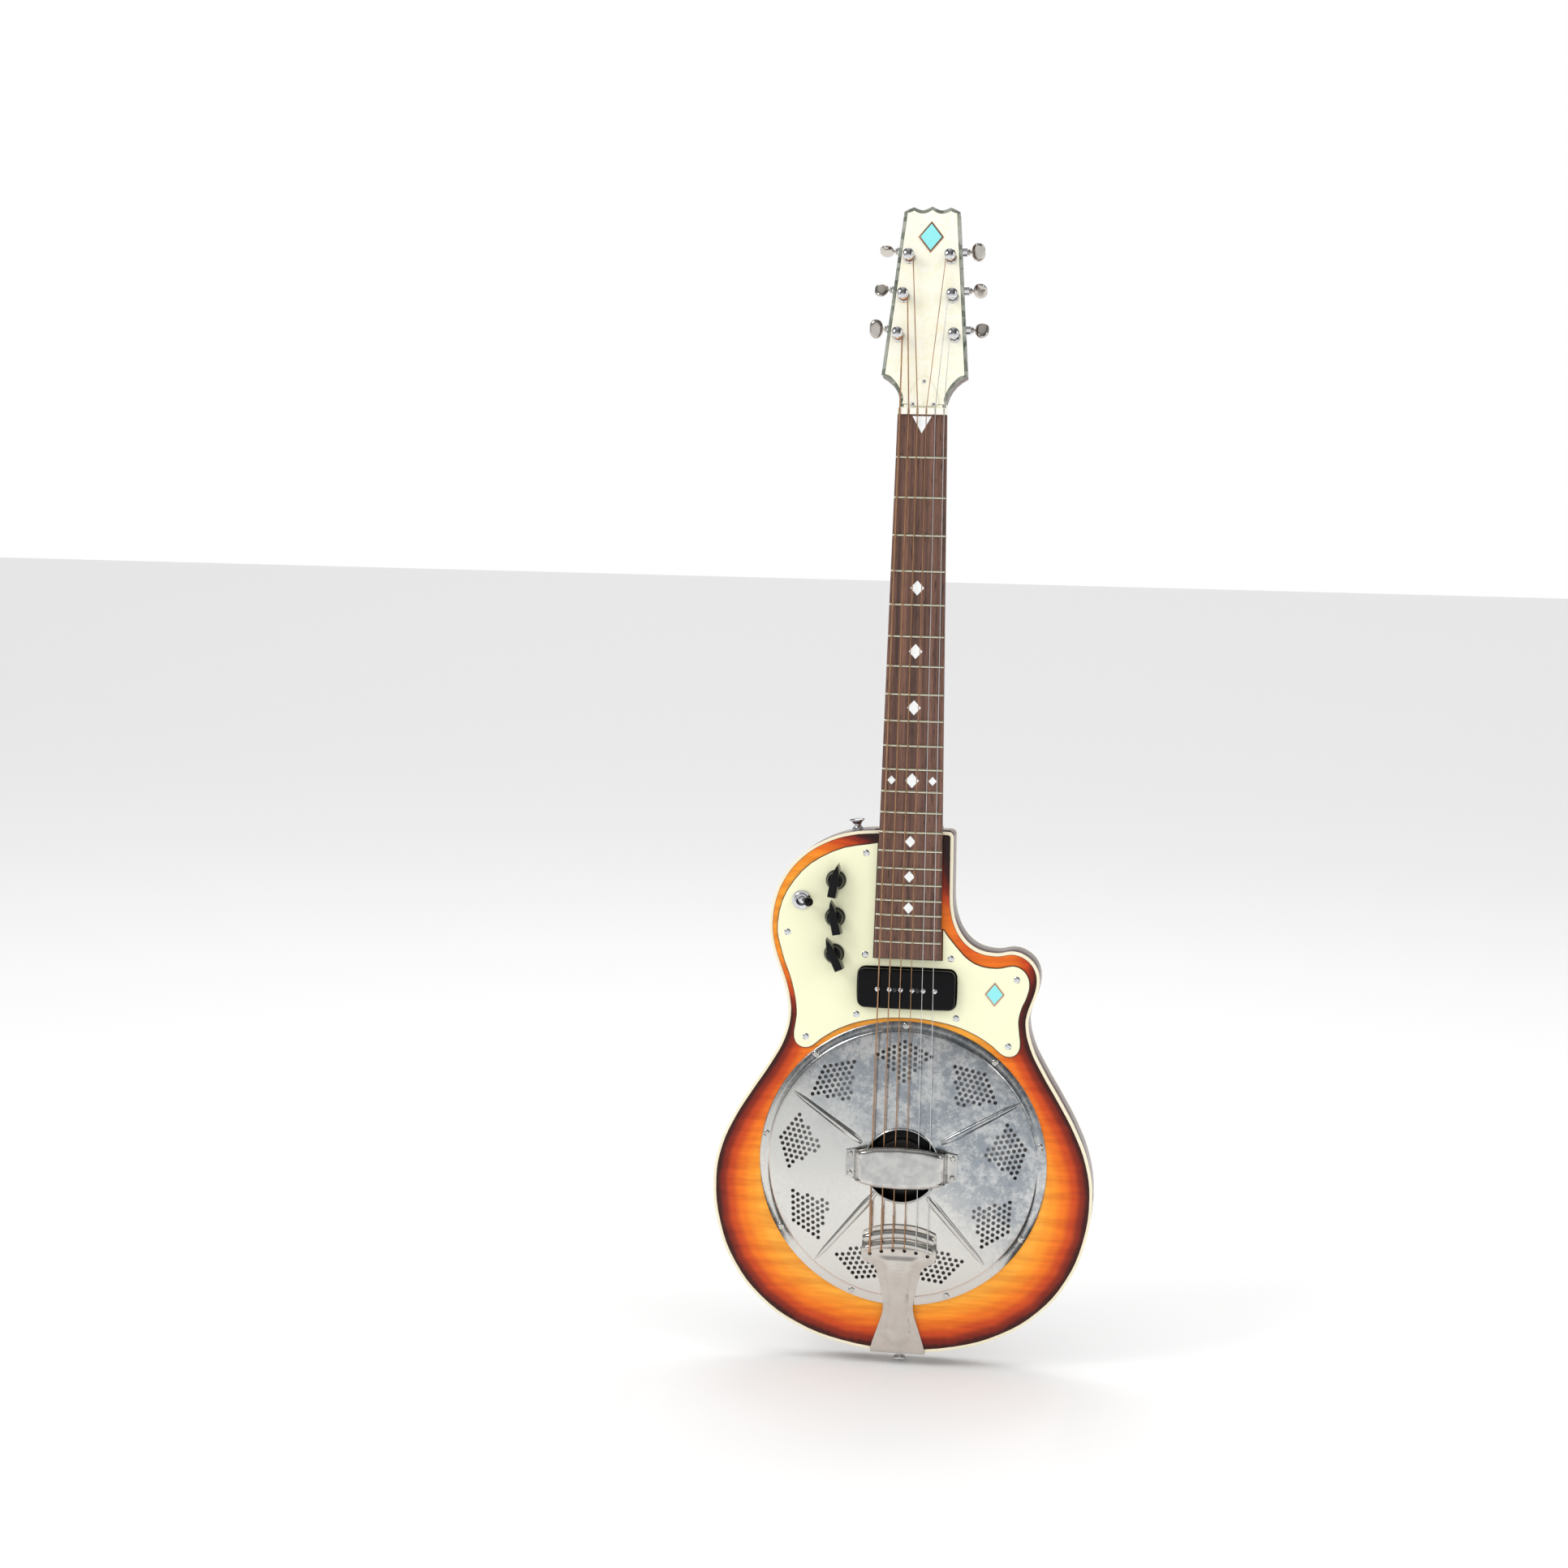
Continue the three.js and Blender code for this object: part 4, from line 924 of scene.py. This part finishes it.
length = neckEnd["scaleLength"] - board["end"]
bpy.ops.mesh.primitive_grid_add(x_subdivisions=16, y_subdivisions=20, size=2)
fingerboard = bpy.context.object
startEdit(fingerboard)
bpy.ops.mesh.select_all(action="SELECT")
bpy.ops.mesh.extrude_region_move(TRANSFORM_OT_translate={"value": (0, 0, -3)})
endEdit()
for vertex in fingerboard.data.vertices:
    y = board["end"] + (vertex.co.y + 1) / 2 * length
    x = vertex.co.x * boardHalf(y)
    vertex.co = (x, y, boardZ(x) if vertex.co.z > -1 else board["bottom"])
clean(fingerboard, outward=True)
bevelled(fingerboard, 0.5, 2, 60)
settle(fingerboard, "fingerboard_wood", finishes["rosewood"], upright, "guitar", "rosewood", "fingerboard")
fretRoutes = []
for n in range(1, board["frets"] + 1):
    half = boardHalf(fretY(n)) - 0.3
    fretRoutes.append([(half * k / 6, fretY(n), boardZ(half * k / 6) + board["fretRise"]
                        - (board["fretEnd"] if abs(k) == 6 else 0)) for k in range(-6, 7)])
frets = tube(fretRoutes, board["fretRadius"], 3)
settle(frets, "frets", finishes["fretWire"], upright, "guitar", "steel", smooth=50)
inlayLoops = [diamond(x, (fretY(n) + fretY(n - 1)) / 2, half, half * 1.08) for x, n, half in board["diamonds"]]
inlayLoops.append([(x, y, "VECTOR") for x, y in board["vInlay"]])
inlays = flatCurve(inlayLoops, board["top"] - 0.8, board["top"] + 0.12, 0.05)
settle(inlays, "inlays", finishes["inlayPearl"], upright, "guitar", "pearloid")
softened("nut", "bone", "guitar", "bone", 0.5)
softened("neck", "mahoganyNeck", "guitar", "mahogany_neck", 0.8, 3, 40, 45)
softened("truss_rod", "steel", "guitar", "steel", 0.3)
print("neck and fingerboard made")

# headstock face: pearloid inside a wide pearl edge, a rod cover and the strip behind the nut
head = {"edgeGain": 0.45, "postHole": 15, "ledgeHalf": 20.9, "ledgeStart": 4.4,
        "screws": [(0, 28.7, 1.5, 10), (-9, 8.5, 1.5, 40), (9, 8.5, 1.5, 75)], "screw": 1.8}
low, high = depths("headstock_overlay", leaning)
faceLoops = nodeLoops("headstock_overlay", leaning)
for i, loop in enumerate(faceLoops):  # the face draws in from its edge, but not round the posts
    across, up = ([p[k] for p in loop] for k in (0, 1))
    if max(across) - min(across) < head["postHole"]:
        x, y = (max(across) + min(across)) / 2, (max(up) + min(up)) / 2
        share = 1 - 2 * head["edgeGain"] / (max(across) - min(across))
        faceLoops[i] = [(x + (p[0] - x) * share, y + (p[1] - y) * share, p[2]) for p in loop]
settle(flatCurve(faceLoops, low, high, 0.15, grow=-head["edgeGain"]), "headstock_overlay_shape",
       finishes["pearloid"], leaning, "guitar", "pearloid", "headstock_overlay")
plate("headstock_binding", "edgePearl", "green_pearl", leaning, 0.3, grow=head["edgeGain"])
plate("truss_rod_cover", "pearloid", "pearloid", leaning, 0.35)
start = min((leaning.inverted() @ vertex.co).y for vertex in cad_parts["headstock_overlay"].data.vertices)
ledge = box((-head["ledgeHalf"], head["ledgeStart"], low), (head["ledgeHalf"], start + 0.1, high - 0.1))
bevelled(ledge, 0.3, 2)
settle(ledge, "nut_ledge", finishes["pearloid"], leaning, "guitar", "pearloid")
coverScrews = spread(screwHead(head["screw"], 0.8), head["screws"])
settle(coverScrews, "cover_screws", finishes["chrome"], leaning, "guitar", "chrome")

# a plain enamelled lozenge, rimmed in copper, on the headstock and on the pickguard
lozenges = {
    "places": [("headstock", leaning, 0, 157.0, 11.0, 14.0, 0.0), ("guard", upright, 76.6, 149.5, 8.5, 10.5, 2.6)],
    "parts": [("rim", "copper", 1, 0, 0.9), ("face", "aqua", 0.84, 0.4, 1.2)]}  # share of the size, low and high
for name, place, x, y, halfAcross, halfUp, level in lozenges["places"]:
    for part, material, share, low, high in lozenges["parts"]:
        loop = diamond(x, y, halfAcross * share, halfUp * share)
        settle(flatCurve([loop], level + low, level + high, 0.25, edgeSteps=3), f"lozenge_{part}_{name}",
               finishes[material], place, "guitar", "pearloid")
print("headstock made")

# tuners: round posts and bushings in front, geared housings behind, kidney buttons at the sides
tuner = {"places": [(69, 24.05), (103.9, 21.1), (138.5, 17.9)], "wormOffset": 11.5,
         "post": [(0, -23), (4.2, -23), (4.2, -17), (3, -16.4), (3, 3.6), (2.7, 5.4), (2.7, 8.6), (3.1, 9.6),
                  (4.5, 10.2), (5.1, 11.4), (5.0, 12.8), (4.3, 14.0), (3.0, 14.8), (1.5, 15.1), (0, 15.2)],
         "bushing": [(3.2, 0.1), (5.0, 0.1), (5.1, 0.5), (4.8, 0.9), (4.3, 1.2), (4.1, 1.6), (3.2, 1.6)],
         "wormHeight": -19.6, "turns": {"bass": (20, -35, 75), "treble": (-25, 60, 35)},
         "reach": 22.0, "thickness": 4.8, "halfAcross": 6.2, "halfUp": 8.5, "waist": 0.07, "waistSpread": 0.3,
         "fullness": 0.55,
         "shaft": [(0, 0), (2.1, 0), (2.1, 13.2), (3.0, 13.2), (3.1, 13.8), (2.9, 14.4), (1.5, 14.8), (1.3, 15.4),
                   (1.3, 17.0), (2.2, 18.4), (2.4, 20), (0, 20)],
         "screw": 1.6, "screws": [(-4.4, 30), (14.4, 70)], "screwLevel": -25.7}
outlineAngles = [math.pi * k / 40 for k in range(-40, 41)]
outlineReach = []
for angle in outlineAngles:
    waist = tuner["waist"] * math.exp(-(math.sin(angle) / tuner["waistSpread"]) ** 2)
    oval = math.hypot(math.cos(angle) / tuner["halfAcross"], math.sin(angle) / tuner["halfUp"])
    outlineReach.append((1 - waist) / oval)


def kidney():
    # a crowned kidney shape, fuller than a ball towards its edge
    bpy.ops.mesh.primitive_uv_sphere_add(segments=40, ring_count=20, radius=1)
    shape = bpy.context.object
    for vertex in shape.data.vertices:
        x, y, z = vertex.co
        angle = math.atan2(y, x)
        reach = math.hypot(x, y) ** tuner["fullness"] * float(np.interp(angle, outlineAngles, outlineReach))
        vertex.co = (reach * math.cos(angle), reach * math.sin(angle), z * tuner["thickness"] / 2)
    return shape


for sideName, side in (("bass", -1), ("treble", 1)):
    for i, (along, across) in enumerate(tuner["places"]):
        label = f"{sideName}_{i + 1}"
        post = turned(tuner["post"], 32)
        post.location = (side * across, along, 0)
        settle(post, f"post_{label}", finishes["chrome"], leaning, f"tuner_post_{label}", "chrome",
               f"tuner_post_{label}", smooth=50)
        bushing = turned(tuner["bushing"], 32)
        bushing.location = (side * across, along, 0)
        settle(bushing, f"bushing_{label}", finishes["chrome"], leaning, "guitar", "chrome")
        softened(f"tuner_housing_{label}", "chrome", "guitar", "chrome", 1.0, 3, 35, place=leaning)
        paddle = kidney()
        paddle.location.x = side * tuner["reach"]
        shaft = turned(tuner["shaft"], 24)
        shaft.rotation_euler.y = math.radians(90 * side)
        button = joined("button", [shaft, paddle])
        wormPlace = (side * across, along + tuner["wormOffset"], tuner["wormHeight"])
        button.matrix_world = (
            Matrix.Translation(wormPlace)
            @ Matrix.Rotation(math.radians(tuner["turns"][sideName][i]), 4, "X") @ button.matrix_basis)
        settle(button, f"button_{label}", finishes["warmNickel"], leaning, f"tuner_button_{label}", "nickel",
               f"tuner_button_{label}", smooth=50)
        backScrews = spread(screwHead(tuner["screw"], 0.9, 1),
                            [(side * across, along + offset, 0, turn) for offset, turn in tuner["screws"]])
        for vertex in backScrews.data.vertices:
            vertex.co.z = tuner["screwLevel"] - vertex.co.z
        clean(backScrews, outward=True)
        settle(backScrews, f"housing_screws_{label}", finishes["nickel"], leaning, "guitar", "chrome")
print("tuners made")

# cover plate: a spun dome with a raised lip round its opening, sieve holes in nine fans and four pressed ribs
cover = {"centre": -4.2, "steps": 144, "fans": 9, "apex": 109.0, "column": 4.7, "row": 4.9, "reach": 36.6,
         "sideReach": 12.25, "hole": 1.75,
         "profile": [(126.2, 0.3), (126.2, 0.9), (125.2, 1.5), (122, 1.9), (119.6, 2.4), (118.2, 3.1), (117.4, 4.0),
                     (114, 4.6), (95, 6.2), (75, 7.5), (55, 8.5), (36, 9.4), (33.8, 9.6), (33.2, 10.2),
                     (32.6, 10.5), (32.0, 10.4), (31.7, 9.9), (31.7, 8.9), (36, 8.3), (75, 6.3), (116.6, 3),
                     (118.6, 0.6), (119, 0.3), (126.2, 0.3)],
         "ribs": [((-35, 14.3), (-96.7, 56.4)), ((34.2, 17), (102.9, 56)), ((-21.3, -28.7), (-74.6, -93.1)),
                  ((23.2, -30.7), (74.8, -89.8))],
         "ribRadius": 4.0, "ribSunk": 1.1, "screw": 3.0, "screwCircle": 122.3, "screwLevel": 1.75}


def coverZ(x, y):
    radius = math.hypot(x, y - cover["centre"])
    line = sorted(cover["profile"][5:13])
    return float(np.interp(radius, [p[0] for p in line], [p[1] for p in line]))


coverPlate = turned(cover["profile"], cover["steps"])
coverPlate.location.y = cover["centre"]
only(coverPlate)
bpy.ops.object.transform_apply(location=True, rotation=False, scale=False)
drills = []
for c in range(-5, 6):
    y = -cover["row"] / 2 * abs(c)
    limit = -cover["reach"] * (1 - abs(c) / 5) - cover["sideReach"] * abs(c) / 5 - 0.5
    while y >= limit:
        drills.append((c * cover["column"], cover["apex"] + y))
        y -= cover["row"]
fan = spread(rod(0, 0, -1, 13, cover["hole"], 10), [(x, y, 0, 0) for x, y in drills])
fans = spread(fan, [(0, cover["centre"], 0, 360 / cover["fans"] * i) for i in range(cover["fans"])])
boolean(coverPlate, "DIFFERENCE", fans)
settle(coverPlate, "cover_dome", finishes["wornNickelAndReflection"], upright, "guitar", "worn_nickel", "cover_plate", smooth=30)

ribs = []
for (ax, ay), (bx, by) in cover["ribs"]:
    route = []
    for k in range(13):
        t = k / 12
        x, y = ax + (bx - ax) * t, ay + (by - ay) * t
        route.append((x, y, coverZ(x, y) - cover["ribSunk"], (1 - 0.4 * t) * min(1, 0.5 + 4 * min(t, 1 - t))))
    ribs.append(tube([route], cover["ribRadius"], 8))
ribs = joined("ribs", ribs)
settle(ribs, "cover_ribs", finishes["wornNickelAndReflection"], upright, "guitar", "worn_nickel", smooth=60)
rimPlaces = []
for i in range(cover["fans"]):
    angle = 2 * math.pi * i / cover["fans"]
    rimPlaces.append((cover["screwCircle"] * math.sin(angle), cover["centre"] + cover["screwCircle"] * math.cos(angle),
                      cover["screwLevel"], 50 * i))
rimScrews = spread(screwHead(cover["screw"], 1.0, 2), rimPlaces)
settle(rimScrews, "cover_rim_screws", finishes["nickel"], upright, "guitar", "chrome")
print("cover plate made")

# hand rest: an arched strap with barrel-shaped feet and rolled edges
rest = {"line": [(49, 11.0), (46, 11.1), (42.4, 11.4), (41.0, 12.2), (40.2, 14), (39.9, 17), (39.5, 20),
                 (38.6, 22.6), (36.8, 24.7), (34.2, 26.0), (30, 26.8), (24, 27.1), (14, 27.3), (0, 27.4)],
        "front": [(0, -22.6), (20, -21.6), (34, -19.0), (39, -17.6), (44, -16.6), (49, -15.5)],
        "back": [(0, 15.0), (20, 14.0), (34, 11.4), (39, 10.0), (44, 9.0), (49, 8.0)],
        "roll": 4.2, "rollFrom": 12, "rollOver": 10, "footX": 38, "footRoll": 0.4, "wall": 1.3, "across": 70,
        "along": 26, "screw": 2.7, "screws": [(-45.0, 4.8, 10.9, 20), (45.0, 4.8, 10.9, 70),
                                              (-45.0, -12.4, 10.9, 40), (45.0, -12.4, 10.9, 5)]}
halfLine = rest["line"]
fullLine = halfLine + [(-x, z) for x, z in reversed(halfLine[:-1])]
steps = np.cumsum([0] + [math.dist(a, b) for a, b in zip(fullLine, fullLine[1:])])
bpy.ops.mesh.primitive_grid_add(x_subdivisions=rest["across"], y_subdivisions=rest["along"], size=2)
handRest = bpy.context.object
for vertex in handRest.data.vertices:
    s = (vertex.co.x + 1) / 2 * steps[-1]
    x = float(np.interp(s, steps, [p[0] for p in fullLine]))
    z = float(np.interp(s, steps, [p[1] for p in fullLine]))
    front = float(np.interp(abs(x), *zip(*rest["front"])))
    back = float(np.interp(abs(x), *zip(*rest["back"])))
    v = (vertex.co.y + 1) / 2
    y = front + (back - front) * v
    edge = min(y - front, back - y)
    onTop = min(1, max(0, (z - rest["rollFrom"]) / rest["rollOver"]))
    drop = rest["roll"] * (1 - math.sqrt(max(0, 1 - (1 - min(edge / rest["roll"], 1)) ** 2))) * onTop
    vertex.co = (x, y, z - drop * (1 if abs(x) < rest["footX"] else rest["footRoll"]))
clean(handRest, 0.001)
applied(handRest, "SOLIDIFY", thickness=rest["wall"], offset=1 if handRest.data.polygons[0].normal.z < 0 else -1)
applied(handRest, "BEVEL", width=0.3, segments=2, limit_method="ANGLE", angle_limit=math.radians(60))
settle(handRest, "hand_rest_strap", finishes["restNickel"], upright, "guitar", "nickel", "hand_rest", smooth=40)
restScrews = spread(screwHead(rest["screw"], 1.1, 1), rest["screws"])
settle(restScrews, "hand_rest_screws", finishes["nickel"], upright, "guitar", "chrome")

# cone, biscuit and saddle, seen through the opening and the holes
cone = {"profile": [(2.6, 0.4), (24, 0.4), (27.4, -0.4), (112.4, -15.8), (114.6, -17.7), (120.8, -17.7),
                    (120.8, -18.6), (114.2, -18.6), (112, -16.8), (27.2, -1.3), (24, -0.4), (2.6, -0.4), (2.6, 0.4)]}
coneShape = turned(cone["profile"], 96)
coneShape.location.y = cover["centre"]
settle(coneShape, "cone_shell", finishes["coneMetal"], upright, "guitar", "spun_aluminium", "resonator_cone")
# painted shade: the biscuit is coloured near black for the shade in the well
softened("biscuit", "mapleInPaintedShade", "guitar", "maple", 0.8)
softened("cone_screw", "steel", "guitar", "steel", 0.2)
softened("saddle", "maple", "guitar", "maple", 0.4)
print("hand rest and cone made")

# tailpiece: a stamped strap that bends over the body's end, with rolled bars where the strings anchor
tail = {"line": [(-174.3, -30), (-174.3, -4), (-174.1, -0.4), (-173.2, 1.3), (-171.4, 2.0), (-168, 2.2),
                 (-152, 2.5), (-140, 3.7), (-128, 6.3), (-112, 7.6), (-96, 9.9), (-88, 12.0), (-78, 12.2),
                 (-75, 11.4), (-72, 10.3), (-62, 10.2), (-56.5, 10.2)],
        "half": [(-180, 24), (-170, 24), (-164, 22.4), (-150, 17.8), (-140, 14.6), (-133, 13.3), (-126, 13.4),
                 (-112, 16), (-100, 19), (-94, 21.2), (-91, 28), (-89, 31.4), (-84, 33), (-74, 32.6), (-56, 32)],
        "across": 44, "along": 150, "wall": 1.5, "ridge": 3.4, "slope": 7.0, "tongueFrom": -170, "tongueTo": -84,
        "tongueFade": 14, "tongueEnd": -155.0,
        "tongue": [(-156, 12.4), (-146, 11.4), (-133, 9.6), (-118, 9.8), (-104, 11.6), (-94, 14.5), (-84, 20)],
        "tipFrom": -70, "tipLength": 13.5, "tipDrop": 7.5, "keyhole": 1.7,
        "bars": [(-64.6, 4.6, 31.5, 9.0), (-73.6, 3.2, 31.0, 10.4)], "barFloor": 9.3, "barBow": 0.006}
lengths = np.cumsum([0] + [math.dist(a, b) for a, b in zip(tail["line"], tail["line"][1:])])
bpy.ops.mesh.primitive_grid_add(x_subdivisions=tail["across"], y_subdivisions=tail["along"], size=2)
tailpiece = bpy.context.object
for vertex in tailpiece.data.vertices:
    u, s = vertex.co.x, (vertex.co.y + 1) / 2 * lengths[-1]
    y = float(np.interp(s, lengths, [p[0] for p in tail["line"]]))
    z = float(np.interp(s, lengths, [p[1] for p in tail["line"]]))
    x = u * float(np.interp(y, *zip(*tail["half"])))
    if y > tail["tipFrom"]:
        bowed = tail["tipLength"] - tail["tipDrop"] * (abs(x) / 32) ** 2.4
        y = tail["tipFrom"] + (y - tail["tipFrom"]) / tail["tipLength"] * bowed
    if tail["tongueFrom"] < y < tail["tongueTo"]:  # a tongue pressed up along the middle, round at its lower end
        half = float(np.interp(y, *zip(*tail["tongue"])))
        within = half - math.hypot(x, min(0, y - tail["tongueEnd"]))
        rise = min(1, max(0, within / tail["slope"]))
        z += tail["ridge"] * math.sin(rise * math.pi / 2) * min(1, (tail["tongueTo"] - y) / tail["tongueFade"])
    vertex.co = (x, y, z)
clean(tailpiece, 0.001)
applied(tailpiece, "SOLIDIFY", thickness=tail["wall"], offset=1 if tailpiece.data.polygons[-1].normal.z < 0 else -1)
applied(tailpiece, "BEVEL", width=0.35, segments=2, limit_method="ANGLE", angle_limit=math.radians(60))
stringX = [(i - 2.5) * 10.15 for i in range(6)]
stringEndY = [-79 - 0.64 * (i - 2.5) ** 2 for i in range(6)]
keyholes = joined("keyholes", [rod(x, y, 4, 18, tail["keyhole"], 16) for x, y in zip(stringX, stringEndY)])
boolean(tailpiece, "DIFFERENCE", keyholes)
settle(tailpiece, "tailpiece_strap", finishes["warmNickel"], upright, "guitar", "nickel", "tailpiece", smooth=40)
bars = []
for y, radius, half, z in tail["bars"]:
    route = []
    for k in range(-10, 11):
        x = half * k / 10
        route.append((x, y - tail["barBow"] * x ** 2, z, 1 if abs(k) < 10 else 0.7))
    bar = tube([route], radius, 8)
    for vertex in bar.data.vertices:  # half round, flat underneath
        vertex.co.z = max(vertex.co.z, tail["barFloor"])
    bars.append(bar)
bars = joined("bars", bars)
settle(bars, "tailpiece_bars", finishes["nickel"], upright, "guitar", "nickel", smooth=60)
print("tailpiece made")

# strings: from their keyholes over the saddle and the nut, with turns round the posts
strings = {"radii": (0.66, 0.55, 0.45, 0.35, 0.3, 0.3), "wrapEnd": (-35, -42, -48, -52, -58, -62), "turns": 2.6,
           "postRadius": 3.0, "coilTop": 6.4, "nutSpacing": 7.6, "nutTop": 10.8, "saddleTop": 15, "wrap": 1.5}
postFor = [("bass", 0), ("bass", 1), ("bass", 2), ("treble", 2), ("treble", 1), ("treble", 0)]
inverseUpright = upright.inverted()
for i, radius in enumerate(strings["radii"]):
    name = f"string_{i + 1}"
    cloud = [inverseUpright @ v.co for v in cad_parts[name].data.vertices]
    far = max(p.y for p in cloud)
    tip = sum((p for p in cloud if p.y > far - 1), Vector()) / len([p for p in cloud if p.y > far - 1])
    slot, material = ("bronze_winding", "bronzeWinding") if i < 4 else ("string_steel", "stringSteel")
    nutX = (i - 2.5) * strings["nutSpacing"]
    wrap, wrapEnd = strings["wrap"], strings["wrapEnd"][i]
    route = [(stringX[i], stringEndY[i], 10.4, wrap), (stringX[i], stringEndY[i] + 2.2, 12.6, wrap),
             (stringX[i], stringEndY[i] + 6, 14.2, wrap), (stringX[i], wrapEnd, 14.6, wrap),
             (stringX[i], wrapEnd + 0.8, 14.6, 1.0), (stringX[i], 0, strings["saddleTop"] + radius, 1),
             (nutX, 648, strings["nutTop"] + radius, 1), (nutX, 653.4, strings["nutTop"] + 0.1 + radius, 1), (*tip, 1)]
    settle(tube([route], radius, 4), f"{name}_wire", finishes[material], upright, "guitar", slot, name, smooth=60)
    sideName, order = postFor[i]
    side = -1 if sideName == "bass" else 1
    along, across = tuner["places"][order]
    reach = strings["postRadius"] + radius
    coil = []
    for k in range(int(strings["turns"] * 20) + 1):
        angle = 2 * math.pi * k / 20
        coil.append((side * across - side * reach * math.cos(angle), along + reach * math.sin(angle),
                     strings["coilTop"] - 2 * radius * k / 20 * 1.05))
    loose = coil[-1]
    coil.append((loose[0] + side * 2.2, loose[1] + 1.4, loose[2] + 0.6))
    settle(tube([coil], radius, 3), f"{name}_coil", finishes["copper" if i < 4 else "stringSteel"], leaning,
           f"tuner_post_{sideName}_{order + 1}", slot, smooth=60)
print("strings made")

# strap buttons and the output jack
strap = {"profile": [(0, 0), (5.4, 0), (4.9, 0.7), (4.1, 1.8), (3.6, 3.2), (3.6, 4.4), (4.2, 5.8), (5.6, 6.9), (7, 7.5),
                     (7.1, 8.2), (6.4, 8.9), (4.6, 9.4), (2, 9.4), (1.6, 8.9), (0, 8.9)],
         "places": [("strap_button_tail", (0, -174.6, -20), 90, 0), ("strap_button_upper", (-49.3, 287.1, -20), -90, 6)]}
for name, place, tip, turn in strap["places"]:
    button = turned(strap["profile"], 40)
    button.matrix_world = (Matrix.Translation(place) @ Matrix.Rotation(math.radians(turn), 4, "Z")
                           @ Matrix.Rotation(math.radians(tip), 4, "X"))
    settle(button, f"{name}_turned", finishes["chrome"], upright, "guitar", "chrome", name, smooth=40)
jack = {"place": (142, -30, -20),
        "profile": [(3.3, 0), (5.2, 0), (5.2, 21.6), (11, 21.6), (11.2, 21.9), (11.2, 23.1), (10.8, 23.4), (6.4, 23.4),
                    (5.6, 24.4), (3.3, 24.4), (3.3, 0)]}
sleeve = turned(jack["profile"], 48)
sleeve.matrix_world = Matrix.Translation(jack["place"]) @ Matrix.Rotation(math.pi / 2, 4, "Y")
settle(sleeve, "jack_sleeve", finishes["chrome"], upright, "guitar", "chrome", "output_jack", smooth=40)
print("strap buttons and jack made")
